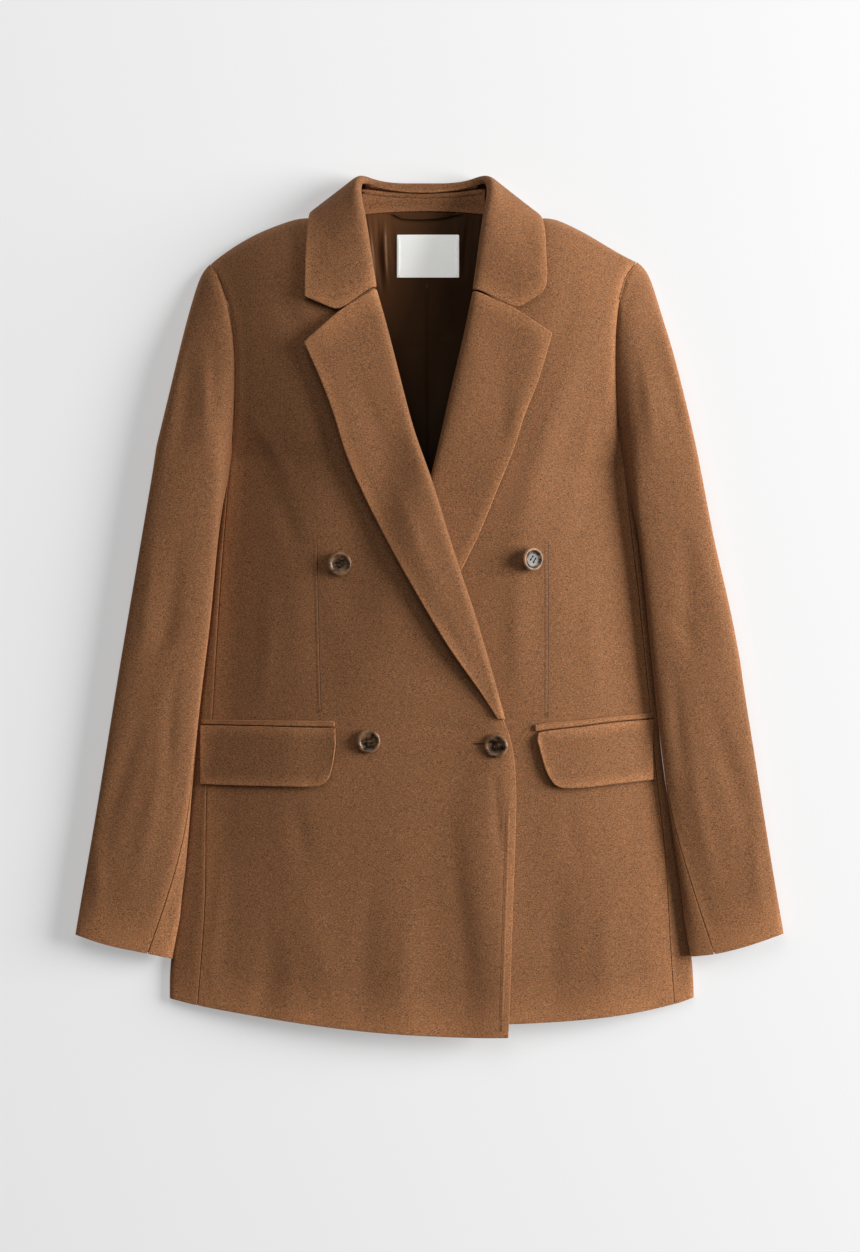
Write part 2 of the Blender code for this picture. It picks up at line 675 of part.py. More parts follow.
def add_back(side, collection):
    """Half of the back, flat on the surface, raised a little over the collar's fall."""
    columns = 8
    centre = -6.3

    def outer_point(row):
        if row > ARMPIT_ROW:
            reach = BACK_REACH * (0.5 - 0.5 * cos(pi * (row - ARMPIT_ROW) / ARM_STEPS))
            seam = on_path(by_length(ARMHOLE[side]), reach)
            return seam - Vector((SIGN[side] * ARMHOLE_INSET, 0.0))
        y = ROW_LEVELS[row][SIDE_LEVEL[side]]
        distance = smooth(BACK_SEAM, y) + SEAM
        return Vector((side_fold(side, y) - SIGN[side] * distance, y))

    def place(column, row):
        share = column / columns if side == "left" else 1 - column / columns
        outer = outer_point(row)
        inner = Vector((centre + SIGN[side] * SEAM / 2, outer.y))
        point = inner.lerp(outer, share)
        if row > ARMPIT_ROW:
            fade = ((row - ARMPIT_ROW) / ARM_STEPS) ** 1.5
            top = smooth(SHOULDER[side], point.x) - SHOULDER_INSET
            point.y += (top - SHOULDER[side][-1][1]) * fade
        elif row == 0:
            point.y = smooth(HEM[side], point.x) if side == "left" or point.x < 60 else point.y
            point.y = max(point.y, BACK_HEM)
        return point.x, point.y, fall_bed(point.x, point.y)

    return cloth_sheet("back_" + side, columns, BODY_ROWS, place, CLOTH, collection,
                       (CLOTH_BROWN, 0.85), over=True)


# ---------------------------------------------------------------- sleeves
def sleeve_point(side, share, angle):
    """Point of a sleeve: share of its length, and the angle round its section.

    The angle runs from the outer edge (0) over the top to the inner edge (180) and back
    along the surface it lies on.
    """
    across = 0.5 - 0.5 * cos(angle)
    armhole = by_length(ARMHOLE[side][::-1])
    cuff = by_length(CUFF[side])
    outer = on_path(by_length(SLEEVE_OUTER[side]), share)
    inner = on_path(by_length(SLEEVE_INNER[side]), share)
    seam = on_path(armhole, across)
    hem = on_path(cuff, across)
    point = outer.lerp(inner, across)
    point += (seam - on_path(armhole, 0).lerp(on_path(armhole, 1), across)) * (1 - share)
    point += (hem - on_path(cuff, 0).lerp(on_path(cuff, 1), across)) * share
    point.x += SIGN[side] * SEAM * max(0.0, 1 - share / 0.02)

    thickness = smooth(SLEEVE_FORM, share, SLEEVE_THICKNESS)
    middle = SLEEVE_EDGE * thickness
    height = sin(angle)
    root = front_level(seam.x, seam.y)
    if height >= 0:
        tube = middle + (thickness - middle) * height ** SLEEVE_FULLNESS
    else:
        tube = middle * (1 + max(-1.0, SLEEVE_BASE * height))
        root *= 1 + max(-1.0, 4 * height)
    blend = ease(share / SLEEVE_MOUTH)
    fade = 1 - ease((share - HEAD_START) / HEAD_FADE)
    head = HEAD_RISE * max(0.0, height) * ease(share / HEAD_START) * fade
    return point.x, point.y, mix(root, tube, blend) + head


def sleeve_facing(side, share, angle):
    """Direction out of a sleeve's cloth, square to the sleeve's length."""
    along_step, around_step = 0.02, 0.03
    outer, inner = by_length(SLEEVE_OUTER[side]), by_length(SLEEVE_INNER[side])
    near, far = max(share - along_step, 0.0), min(share + along_step, 1.0)
    along = on_path(outer, far) + on_path(inner, far) - on_path(outer, near) - on_path(inner, near)
    inward = Vector((along.y, -along.x)).normalized() * SIGN[side]
    width = (on_path(inner, share) - on_path(outer, share)).dot(inward)
    run = width * 0.5 * (cos(angle - around_step) - cos(angle + around_step))
    ahead = sleeve_point(side, share, angle + around_step)[2]
    rise = ahead - sleeve_point(side, share, angle - around_step)[2]
    out = Vector((-rise * inward.x, -rise * inward.y, run)).normalized()
    turned = (angle + pi) % (2 * pi) - pi
    at_armhole = (1 - ease(share / 0.05)) * ease((radians(165) - abs(turned)) / radians(40))
    seam = on_path(by_length(ARMHOLE[side][::-1]), 0.5 - 0.5 * cos(turned))
    panel = level_facing(front_level, seam.x, seam.y) if turned >= 0 else Vector((0.0, 0.0, -1.0))
    return out.lerp(panel, at_armhole).normalized()


def add_sleeve(side, collection):
    rows = len(SLEEVE_ROWS) - 1
    hind_seam = pi / ARM_STEPS * (ARM_STEPS - UNDER_STEPS)

    def forearm_seam(share):
        return radians(smooth(SLEEVE_FORM, share, FOREARM_ANGLE))

    def top_angle(column, row):
        wrapped = ARM_STEPS - UNDER_STEPS
        if column <= wrapped:
            return mix(-hind_seam, 0.0, column / wrapped)
        return mix(0.0, forearm_seam(SLEEVE_ROWS[row]), (column - wrapped) / ARM_STEPS)

    def under_angle(column, row):
        share = SLEEVE_ROWS[row]
        start, end = forearm_seam(share), 2 * pi - hind_seam
        start += seam_turn(share, start)
        end -= seam_turn(share, end)
        return mix(start, end, column / UNDER_STEPS)

    def seam_turn(share, angle):
        """Angle that leaves the seam's gap between the two pieces of the sleeve."""
        step = 0.02
        here, ahead = sleeve_point(side, share, angle), sleeve_point(side, share, angle + step)
        return SLEEVE_SEAM * step / (Vector(ahead) - Vector(here)).length

    def sleeve_piece(name, columns, turn):
        def place(column, row):
            return sleeve_point(side, SLEEVE_ROWS[row], turn(column, row))

        def facing(column, row):
            return sleeve_facing(side, SLEEVE_ROWS[row], turn(column, row))

        return cloth_sheet(name + side, columns, rows, place, CLOTH, collection,
                           (CLOTH_BROWN, 0.85), facing=facing)

    sleeve_piece("top_sleeve_", 2 * ARM_STEPS - UNDER_STEPS, top_angle)
    sleeve_piece("under_sleeve_", UNDER_STEPS, under_angle)


# ---------------------------------------------------------------- collar and lapels
def rolled_section(core, opening, lift, radius, stand, edge_points):
    """Points across a turned piece, from its stand round the roll to its outer edge.

    core is the middle of the roll, opening points out of the garment's opening, and lift
    points away from the garment.
    """
    points = [core - lift * radius - opening * stand]
    for turn in (180, 135, 90, 45, 0):
        angle = radians(turn)
        points.append(core + lift * (radius * cos(angle)) + opening * (radius * sin(angle)))
    return points + edge_points


def collar_level(x, y):
    """Outer face of the collar's front leaf."""
    below = 0.86 * (smooth(COLLAR_CREST, x) - y)
    top = open_level(x, y) + LAPEL_LIFT
    return COLLAR_SEAM + (top - COLLAR_SEAM) * round_over(below / COLLAR_CLIMB)


def collar_section(side, index):
    turn, radius, stand = COLLAR_SECTIONS[index][:3]
    first = CORE_COLUMN[side]
    core_x, core_y, edge_x, edge_y = COLLAR_SECTIONS[index][first:first + 4]
    angle = radians(turn)
    normal = COLLAR_NORMAL[side]
    lift = Vector((normal[0] * sin(angle), normal[1] * sin(angle), cos(angle)))
    opening = Vector((core_x - edge_x, core_y - edge_y, 0.0)).normalized()
    if turn < 90:
        core_z = collar_level(core_x, core_y) - radius * cos(angle)
    else:
        core_z = mix(COLLAR_CORNER, radius, ease((turn - 90) / 90))
    core = Vector((core_x, core_y, core_z))
    start = core + lift * radius
    edge = []
    steps = 6
    for step in range(1, steps + 1):
        share = step / steps
        point = start.lerp(Vector((edge_x, edge_y, 0.0)), share)
        if index < 3:
            dip = (1 - abs(2 * share - 1)) * (1 - index / 3) ** 1.5
            straight = start.lerp(Vector((edge_x, edge_y, 0.0)), 0.5)
            point.x += (NOTCH[side][0] - straight.x) * dip * (index == 0)
            point.y += (NOTCH[side][1] + GORGE_GAP / 2 - straight.y) * dip
        if turn < 90:
            point.z = collar_level(point.x, point.y)
        else:
            point.z = mix(start.z, COLLAR_SEAM * (1 - sin(angle - pi / 2)), share)
        edge.append(point)
    points = rolled_section(core, opening, lift, radius, stand, edge)
    if turn == 0:
        for point in points[:2]:
            under_front = front_level(point.x, point.y) - CLOTH - ROLL_ROOM - FOLDED_CLOTH
            point.z = min(point.z, under_front)
    return points


def add_collar(collection):
    last = len(COLLAR_SECTIONS) - 1
    sections = [collar_section("right", index) for index in range(last)]
    sections += [collar_section("left", index) for index in range(last, -1, -1)]

    def place(column, row):
        return sections[row][column]

    return cloth_sheet("collar", len(sections[0]) - 1, len(sections) - 1, place, FOLDED_CLOTH,
                       collection, (FOLD_BROWN, 0.85), over=True)


def lapel_lift(side, y):
    return LAPEL_LIFT if side == "right" else smooth(UNDER_LAPEL_LIFT, y)


def add_lapel(side, collection):
    """Facing turned back over its front, from a short turn inside to the lapel's edge."""
    rows = 15
    edge_steps = 6
    end = LAPEL_END[side]
    roll = [GORGE_START[side]]
    roll += [(x, y) for y, x in ROLL_LINE[side][::-1] if end + 20 < y < GORGE_START[side][1] - 15]
    roll_table = by_length(roll + [(inner_line(side, end), end)])
    edge_table = by_length(LAPEL_EDGE[side])

    def section(row):
        share = row / rows
        fold = on_path(roll_table, share)
        fold.y -= GORGE_GAP * (row == 0)
        edge = on_path(edge_table, share)
        lift = lapel_lift(side, fold.y)
        narrow = ease((BREAK_LEVEL + 80 - fold.y) / 70)
        lift = mix(lift, FOOT_LIFT, narrow)
        room = mix(ROLL_ROOM, FOOT_ROOM, narrow)
        flare = LAPEL_FLARE[side] * (1 - narrow)
        radius = (lift + CLOTH + room + FOLDED_CLOTH) / 2
        opening = Vector((fold.x - edge.x, 0.25 * (fold.y - edge.y), 0.0)).normalized()
        core = Vector((fold.x, fold.y, 0.0)) - opening * radius
        core.z = PANEL_LEVEL[side](core.x, core.y) + lift - radius
        start = core + Vector((0.0, 0.0, radius))
        points = []
        for step in range(1, edge_steps + 1):
            across = step / edge_steps
            point = start.lerp(Vector((edge.x, edge.y, 0.0)), across)
            if row == 0:
                middle = start.lerp(Vector((edge.x, edge.y, 0.0)), 0.5)
                kink = 1 - abs(2 * across - 1)
                point.x += (NOTCH[side][0] - middle.x) * kink
                point.y += (NOTCH[side][1] - GORGE_GAP / 2 - middle.y) * kink
            point.z = PANEL_LEVEL[side](point.x, point.y) + lift + flare * across ** 1.5
            points.append(point)
        stand = mix(12.0, 3.0, narrow)
        points = rolled_section(core, opening, Vector((0.0, 0.0, 1.0)), radius, stand, points)
        points[0].z = PANEL_LEVEL[side](points[0].x, points[0].y) + lift - 2 * radius
        return points

    sections = [section(row) for row in range(rows + 1)]

    def place(column, row):
        return sections[row][column]

    return cloth_sheet("lapel_" + side, len(sections[0]) - 1, rows, place, FOLDED_CLOTH,
                       collection, (FOLD_BROWN, 0.85), over=side == "left")


# ---------------------------------------------------------------- inside the neck
def add_neck_facing(collection):
    columns, rows = 12, len(FACING_ROWS) - 1

    def place(column, row):
        share = column / columns
        centre_y, dip, z = FACING_ROWS[rows - row]
        bow = (2 * share - 1) ** 2
        x = mix(FACING_ENDS[0], FACING_ENDS[1], share)
        return x, centre_y + dip * bow, z

    return cloth_sheet("back_neck_facing", columns, rows, place, FACING_CLOTH, collection,
                       (FOLD_BROWN, 0.85))


def lining_level(x, y):
    """Top face of the lining, with the small pleats that hang from the facing."""
    level = smooth(LINING_ROWS, y, 3)
    fade = ease((y - PLEAT_END) / 40)
    for middle, width, height in PLEATS:
        level += height * fade * max(0.0, 1 - ((x - middle) / width) ** 2)
    return level


def add_lining(collection):
    levels = [row[0] for row in LINING_ROWS[::-1]]
    rows = 2 * (len(levels) - 1)

    def place(column, row):
        low = levels[row // 2]
        y = low if row % 2 == 0 else mix(low, levels[row // 2 + 1], 0.5)
        share = column / LINING_COLUMNS
        x = mix(smooth(LINING_ROWS, y, 1), smooth(LINING_ROWS, y, 2), share)
        if row == rows:
            y -= LINING_DIP * (2 * share - 1) ** 2
        return x, y, lining_level(x, y)

    return cloth_sheet("lining", LINING_COLUMNS, rows, place, LINING_CLOTH, collection,
                       (SATIN_BROWN, 0.42))


def add_hanger_loop(collection):
    """Flat band whose two slanted ends go under the neck facing."""
    steps = 14

    def place(column, row):
        lower_x, lower_y, upper_x, upper_y, height = (
            smooth(LOOP_EDGES, column / steps, value) for value in range(1, 6))
        x, y = mix(lower_x, upper_x, row / 2), mix(lower_y, upper_y, row / 2)
        return x, y, lining_level(x, y) + height

    return cloth_sheet("hanger_loop", steps, 2, place, LOOP_CLOTH, collection, (SATIN_BROWN, 0.42))


def add_label(collection):
    columns, rows = 8, 4

    def place(column, row):
        x = mix(*LABEL_X, column / columns)
        y = mix(*LABEL_Y, row / rows)
        return x, y, lining_level(0.0, y) + CONTACT + LABEL_TAPE

    return cloth_sheet("label", columns, rows, place, LABEL_TAPE, collection, (LABEL_WHITE, 0.6))


# ---------------------------------------------------------------- pockets
def add_pocket(side, collection):
    """Welt and flap, laid on the front from the front's own height."""
    level = PANEL_LEVEL[side]
    welt, flap = WELT[side], FLAP[side]
    welt_steps, flap_steps = 14, 14

    def welt_place(column, row):
        x = mix(welt[0][0], welt[-1][0], column / welt_steps)
        y = mix(smooth(welt, x, 2), smooth(welt, x, 1), row)
        return x, y, level(x, y) + WELT_LIFT

    places = [row[0] for row in flap]
    even = {mix(places[0], places[-1], step / flap_steps) for step in range(flap_steps + 1)}
    corners = sorted(even | set(places))
    xs = [corners[0]]
    for x in corners[1:]:
        if x - xs[-1] > NARROWEST_COLUMN:
            xs.append(x)
    xs[-1] = corners[-1]

    def flap_place(column, row):
        x = xs[column]
        y = mix(smooth(flap, x, 2), smooth(flap, x, 1), row / FLAP_ROWS)
        seam_lift, edge_lift = FLAP_LIFT[side]
        flat = abs(side_fold(side, y)) - FOLD_DEPTH - 1
        bed = level(SIGN[side] * min(abs(x), flat), y)
        return x, y, bed + mix(edge_lift, seam_lift, (row / FLAP_ROWS) ** 0.7)

    cloth_sheet("welt_" + side, welt_steps, 1, welt_place, FOLDED_CLOTH, collection,
                (FOLD_BROWN, 0.85))
    cloth_sheet("flap_" + side, len(xs) - 1, FLAP_ROWS, flap_place, FOLDED_CLOTH, collection,
                (FOLD_BROWN, 0.85))


# ---------------------------------------------------------------- buttons
def button_mesh(cutters):
    """Turned button with a dished face and four thread holes, about its own axis."""
    profile = bmesh.new()
    ring = [profile.verts.new((radius * MM, 0.0, height * MM)) for radius, height in BUTTON_PROFILE]
    for first, second in zip(ring, ring[1:]):
        profile.edges.new((first, second))
    mesh = bpy.data.meshes.new("button_profile")
    profile.to_mesh(mesh)
    profile.free()
    button = bpy.data.objects.new("button_profile", mesh)
    cutters.objects.link(button)
    turn = button.modifiers.new("turn", "SCREW")
    turn.steps = BUTTON_SEGMENTS
    turn.render_steps = BUTTON_SEGMENTS
    turn.use_merge_vertices = True
    turn.merge_threshold = 0.00002

    holes = bmesh.new()
    for across in (-1, 1):
        for along in (-1, 1):
            made = bmesh.ops.create_cone(holes, cap_ends=True, segments=8,
                                         radius1=BUTTON_HOLE_RADIUS * MM,
                                         radius2=BUTTON_HOLE_RADIUS * MM,
                                         depth=3 * BUTTON_DEPTH * MM)
            offset = Vector((across, along, 0)) * BUTTON_HOLE_OFFSET * MM
            bmesh.ops.translate(holes, verts=made["verts"], vec=offset)
    hole_mesh = bpy.data.meshes.new("button_holes")
    holes.to_mesh(hole_mesh)
    holes.free()
    cutter = bpy.data.objects.new("button_holes", hole_mesh)
    cutter.hide_render = True
    cutter.display_type = "WIRE"
    cutters.objects.link(cutter)
    drill = button.modifiers.new("thread_holes", "BOOLEAN")
    drill.operation = "DIFFERENCE"
    drill.solver = "EXACT"
    drill.object = cutter

    graph = bpy.context.evaluated_depsgraph_get()
    finished = bpy.data.meshes.new_from_object(button.evaluated_get(graph))
    bpy.data.objects.remove(button, do_unlink=True)
    return finished


def add_buttons(collection, cutters):
    mesh = button_mesh(cutters)
    mesh.name = "button"
    mesh.materials.clear()
    mesh.materials.append(new_material("button", HORN, 0.25))
    for name, x, y, front, tilt, gap in BUTTONS:
        level = PANEL_LEVEL[front]
        slope_x = (level(x + 5, y) - level(x - 5, y)) / 10
        slope_y = (level(x, y + 5) - level(x, y - 5)) / 10
        button = bpy.data.objects.new(name, mesh)
        button.location = (Vector((x, y, level(x, y) + gap)) + TO_MIDDLE) * MM
        button.rotation_euler = Euler((slope_y, radians(tilt) - slope_x, 0.0))
        collection.objects.link(button)


# ---------------------------------------------------------------- the garment
def build():
    clear_scene()
    garment = new_collection("double_breasted_blazer")
    cutters = new_collection("cutters")
    for side in ("right", "left"):
        add_back(side, garment)
        add_side_panel(side, garment)
        add_front(side, garment)
        add_lapel(side, garment)
        add_sleeve(side, garment)
        add_pocket(side, garment)
    add_collar(garment)
    add_neck_facing(garment)
    add_lining(garment)
    add_hanger_loop(garment)
    add_label(garment)
    add_buttons(garment, cutters)


build()
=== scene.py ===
"""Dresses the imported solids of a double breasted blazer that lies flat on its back.

Sizes in the tables are in millimetres in the frame of the solids: X across the garment, Y from the
hem to the collar, Z up from the surface that it lies on. "right" and "left" are the wearer's.
"""

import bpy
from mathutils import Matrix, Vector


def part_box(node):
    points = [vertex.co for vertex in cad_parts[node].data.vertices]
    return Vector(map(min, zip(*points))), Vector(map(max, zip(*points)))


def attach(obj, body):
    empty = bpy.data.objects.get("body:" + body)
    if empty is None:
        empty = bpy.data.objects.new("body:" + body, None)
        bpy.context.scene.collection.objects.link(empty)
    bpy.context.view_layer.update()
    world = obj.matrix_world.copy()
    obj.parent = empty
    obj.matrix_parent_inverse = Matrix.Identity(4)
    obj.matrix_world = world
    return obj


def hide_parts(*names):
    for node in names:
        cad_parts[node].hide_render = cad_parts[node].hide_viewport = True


bl_info = {
    "name": "Double Breasted Blazer",
    "version": (1, 0, 0),
    "blender": (4, 5, 0),
    "location": "View3D > Sidebar > Blazer",
    "description": "Cloth, lining, label, buttons and stitching of a tailored blazer, laid flat",
    "category": "Object",
}

from math import cos, pi, radians, sin, tan

import bmesh
import bpy
import numpy as np
from bpy.props import FloatProperty, FloatVectorProperty, IntProperty, PointerProperty
from bpy.types import Operator, Panel, PropertyGroup
from mathutils import Matrix, Vector
from mathutils.bvhtree import BVHTree

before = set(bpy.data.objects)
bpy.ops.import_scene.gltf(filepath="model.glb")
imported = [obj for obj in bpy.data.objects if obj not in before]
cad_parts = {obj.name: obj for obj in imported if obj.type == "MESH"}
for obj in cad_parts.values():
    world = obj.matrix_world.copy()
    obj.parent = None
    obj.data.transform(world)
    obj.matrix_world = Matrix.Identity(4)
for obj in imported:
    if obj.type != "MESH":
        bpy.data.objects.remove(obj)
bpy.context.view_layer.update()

MM = 0.001
SIDES = ("right", "left")
RAY_HEIGHT = 0.2        # metres over the floor from which the cloth is looked for

# which way the cloth's threads run on each piece, in degrees from upright
GRAIN = {
    "front_right": 0, "front_left": 0, "back_right": 0, "back_left": 0,
    "side_panel_right": 2, "side_panel_left": -2,
    "top_sleeve_right": -9, "top_sleeve_left": 9,
    "under_sleeve_right": -9, "under_sleeve_left": 9,
    "lapel_right": 24, "lapel_left": -22, "collar": 0,
    "back_neck_facing": 0, "hanger_loop": 90,
    "welt_right": 0, "welt_left": 2, "flap_right": 0, "flap_left": 2,
}

# soft troughs (depth below 0) and ridges: ends of the fold's line, width, depth
BODY_FOLDS = (
    # x, y, x, y, width, depth
    (-150, -290, -146, -384, 22, -1.2), (-96, -255, -92, -386, 26, 0.9),
    (-54, -240, -50, -386, 20, -1.0), (-16, -262, -14, -386, 24, 1.0),
    (24, -180, 30, -384, 16, -0.8), (116, -230, 120, -380, 22, -1.0),
    (160, -250, 166, -376, 20, 0.8), (-186, -220, -190, -366, 14, 0.7),
    (52, -132, 14, -168, 9, -0.8), (48, -116, -20, -104, 10, -0.7),
    (60, -140, 66, -240, 7, -0.7), (20, -60, -40, -92, 16, 0.7),
    (-96, 60, -104, -60, 18, -0.6), (104, 60, 106, -70, 18, -0.6),
    (-150, 110, -110, 40, 15, -0.8), (-158, 176, -122, 96, 13, 0.8),
    (150, 104, 118, 50, 14, -0.8), (150, 176, 122, 110, 13, 0.7),
    (-134, 300, -104, 212, 18, -0.8), (126, 300, 108, 220, 18, -0.8),
    (-150, 20, -146, -96, 15, 0.7), (148, 20, 150, -90, 15, 0.7),
    (-120, -172, -116, -240, 14, -0.7), (130, -176, 128, -236, 14, -0.7),
    (128, 236, 82, 30, 22, 2.0), (86, 40, 74, -90, 16, 1.0), (-118, 210, -60, 60, 20, -0.9),
    (60, -120, 66, -384, 50, 3.2),
)
SLEEVE_FOLDS = {
    "right": (
        (-214, 250, -232, 120, 15, -1.3), (-196, 236, -206, 130, 11, 1.0),
        (-226, 60, -250, -60, 16, -1.1), (-240, 70, -268, -60, 14, 0.9),
        (-216, -10, -246, -34, 12, -0.9), (-262, -90, -290, -230, 17, -1.2),
        (-244, -120, -262, -260, 14, 0.9), (-222, -60, -238, -160, 11, -0.8),
        (-296, -200, -304, -288, 12, 0.8),
    ),
    "left": (
        (206, 252, 224, 124, 15, -1.3), (188, 236, 198, 128, 11, 1.0),
        (222, 64, 246, -56, 16, -1.1), (238, 80, 262, -50, 14, 0.9),
        (208, -6, 240, -36, 12, -0.9), (256, -80, 286, -226, 17, -1.2),
        (236, -120, 258, -260, 14, 0.9), (216, -56, 234, -160, 11, -0.8),
        (292, -190, 302, -284, 12, 0.8),
    ),
}
LAPEL_FOLDS = {
    "right": ((-70, 220, -40, 120, 16, -0.7), (-36, 110, 8, 20, 12, 0.6), (10, 0, 40, -60, 9, -0.5)),
    "left": ((74, 214, 56, 120, 15, -0.7), (84, 190, 76, 150, 10, 0.5), (38, 280, -2, 105, 40, 2.6)),
}
COLLAR_FOLDS = ((-92, 352, -96, 296, 12, -0.6), (86, 350, 88, 300, 12, -0.6))
LINING_FOLDS = (
    (-62, 350, -54, 276, 3.2, -1.6), (-56, 350, -49, 270, 2.8, 1.7), (-47, 350, -42, 280, 2.8, -1.4),
    (-41, 350, -38, 286, 2.6, 1.4), (-34, 349, -32, 300, 2.4, -0.9), (24, 348, 26, 300, 3.2, 0.9),
    (34, 348, 33, 296, 3.2, -0.8), (44, 348, 41, 290, 3.0, 0.8), (-14, 286, -8, 140, 8, 0.7),
    (14, 290, 4, 160, 9, -0.8), (-36, 270, -20, 190, 6, 0.7),
)

# seams that sink a little between two pieces: points of each
SEAM_TROUGHS = (
    ((-179.0, 131), (-175.4, 163), (-174.1, 195), (-173.8, 227), (-176.4, 253), (-182.3, 278),
     (-189.0, 297), (-196.4, 307)),
    ((176.6, 121), (171.8, 143), (168.2, 172), (166.6, 207), (166.5, 241), (169.6, 273),
     (175.0, 294), (185.4, 309)),
)
TROUGH_WIDTH, TROUGH_DEPTH = 2.4, -1.3
# where sleeve and body touch under the arm: amount, and the x of full and of no swelling
BODY_SWELL, SLEEVE_SWELL = (1.9, 176, 150), (-1.8, 182, 206)
SWELL_TOP, SWELL_FADE, SWELL_MIDDLE, SWELL_REACH = 155.0, 15.0, 106.0, 44.0
# how much fuller the body is over the lap than its plain form
DOME_HEIGHT, DOME_MIDDLE, DOME_REACH = 2.6, 30, 175
DOME_END, DOME_FADE = 330, 60

# lines sewn on the cloth: points of each line
DARTS = {
    "front_right": ((-100.7, 61.6), (-99.6, 5.0), (-98.2, -50.0), (-96.8, -96.5)),
    "front_left": ((105.5, 57.6), (105.6, 4.0), (105.6, -50.0), (105.4, -98.5)),
}
FRONT_BUTTONS = ("button_right_upper", "button_right_lower", "button_left_upper", "button_fastened")
PRESSED_LINE = ((69.0, -170.0), (68.2, -211.0), (66.0, -277.0), (64.0, -342.0), (62.6, -384.0))
BUTTONHOLE = ((39.0, -122.6), (51.0, -122.6))
NECK_GAP = (
    (-58.0, 376.4), (-45.0, 374.6), (-34.0, 373.2), (-5.0, 371.8), (24.0, 373.2), (40.0, 375.4),
    (46.0, 376.4))
ARMHOLE_TOPS = (
    ((-196.3, 306.3), (-193.0, 302.0), (-190.3, 298.0), (-186.8, 292.0), (-184.2, 284.0), (-181.0, 274.0)),
    ((184.4, 307.0), (181.0, 302.2), (177.8, 298.0), (174.6, 292.0), (172.4, 284.0), (169.8, 274.0)),
)
NECK_SEAM = ((-60.5, 371.4), (-34.0, 368.6), (-5.0, 367.6), (24.0, 368.4), (47.5, 371.0))
GORGES = (
    ((-77.0, 265.8), (-70.0, 270.0), (-60.0, 276.6), (-48.5, 282.6)),
    ((42.0, 282.8), (60.0, 272.4), (72.0, 266.4), (77.0, 263.8)),
)
CENTRE_SEAM = ((-2.3, 290.0), (-2.6, 240.0), (-2.4, 180.0), (-2.0, 122.0))


# ---------------------------------------------------------------- what a user would change
class BlazerSettings(PropertyGroup):
    """Colours and sizes of the finish."""
    cloth_colour: FloatVectorProperty(
        name="Cloth", description="Colour of the suiting", subtype="COLOR", size=3, min=0, max=1,
        default=(0.238, 0.103, 0.042))
    lining_colour: FloatVectorProperty(
        name="Lining", description="Colour of the satin lining", subtype="COLOR", size=3, min=0, max=1,
        default=(0.042, 0.017, 0.007))
    label_colour: FloatVectorProperty(
        name="Label", description="Colour of the blank label", subtype="COLOR", size=3, min=0, max=1,
        default=(0.86, 0.88, 0.85))
    horn_colour: FloatVectorProperty(
        name="Buttons", description="Dark tone of the horn buttons", subtype="COLOR", size=3, min=0,
        max=1, default=(0.012, 0.007, 0.005))
    thread_pitch: FloatProperty(
        name="Thread pitch", description="Distance from thread to thread of the weave",
        subtype="DISTANCE", unit="LENGTH", default=0.00062, min=0.0002, max=0.003, precision=5)
    edge_round: FloatProperty(
        name="Edge rounding", description="Radius of the cloth's edges", subtype="DISTANCE",
        unit="LENGTH", default=0.0007, min=0.0001, max=0.0007, precision=5)
    turned_round: FloatProperty(
        name="Turned edge rounding", description="Radius of the edges where cloth is turned on itself",
        subtype="DISTANCE", unit="LENGTH", default=0.0011, min=0.0002, max=0.0013, precision=5)
    fold_depth: FloatProperty(
        name="Fold depth", description="How deep the soft folds are", subtype="FACTOR", default=1.25,
        min=0.0, max=1.5)
    smoothness: IntProperty(
        name="Smoothness", description="Subdivisions of the cloth", default=2, min=1, max=3)
    light_power: FloatProperty(
        name="Key light", description="Strength of the soft light from the right", default=5.6,
        min=0.0, max=20.0)


def settings():
    return bpy.context.scene.blazer


# ---------------------------------------------------------------- node helpers
def new_group(name, inputs, outputs):
    """Node group with named sockets, and its two ends."""
    group = bpy.data.node_groups.new(name, "ShaderNodeTree")
    for label, kind, value in inputs:
        socket = group.interface.new_socket(label, in_out="INPUT", socket_type=kind)
        if value is not None:
            socket.default_value = value
    for label, kind in outputs:
        group.interface.new_socket(label, in_out="OUTPUT", socket_type=kind)
    start = group.nodes.new("NodeGroupInput")
    end = group.nodes.new("NodeGroupOutput")
    return group, start, end


def maths(tree, operation, first, second=None):
    node = tree.nodes.new("ShaderNodeMath")
    node.operation = operation
    for socket, value in zip(node.inputs, (first, second)):
        if value is None:
            continue
        if isinstance(value, (int, float)):
            socket.default_value = value
        else:
            tree.links.new(value, socket)
    return node.outputs[0]


def multiplied(tree, vector, factors):
    """A vector or colour with each of its three parts multiplied by its own factor."""
    node = tree.nodes.new("ShaderNodeVectorMath")
    node.operation = "MULTIPLY"
    node.inputs[1].default_value = factors
    tree.links.new(vector, node.inputs[0])
    return node.outputs[0]


def stretched_noise(tree, place, stretch, detail=2.0, rough=0.5):
    """Noise whose specks are one over stretch long in each direction, in metres."""
    noise = tree.nodes.new("ShaderNodeTexNoise")
    noise.inputs["Scale"].default_value = 1.0
    noise.inputs["Detail"].default_value = detail
    noise.inputs["Roughness"].default_value = rough
    tree.links.new(multiplied(tree, place, stretch), noise.inputs["Vector"])
    return noise.outputs["Fac"]


def remap(tree, value, low, high, out_low, out_high):
    node = tree.nodes.new("ShaderNodeMapRange")
    for label, number in (("From Min", low), ("From Max", high), ("To Min", out_low), ("To Max", out_high)):
        node.inputs[label].default_value = number
    tree.links.new(value, node.inputs["Value"])
    return node.outputs["Result"]


def tinted(tree, factor, first, second):
    """Colour between two, each a colour or a socket."""
    node = tree.nodes.new("ShaderNodeMix")
    node.data_type = "RGBA"
    for socket, value in ((node.inputs["Factor"], factor), (node.inputs[6], first), (node.inputs[7], second)):
        if isinstance(value, (tuple, float)):
            socket.default_value = value
        else:
            tree.links.new(value, socket)
    return node.outputs[2]


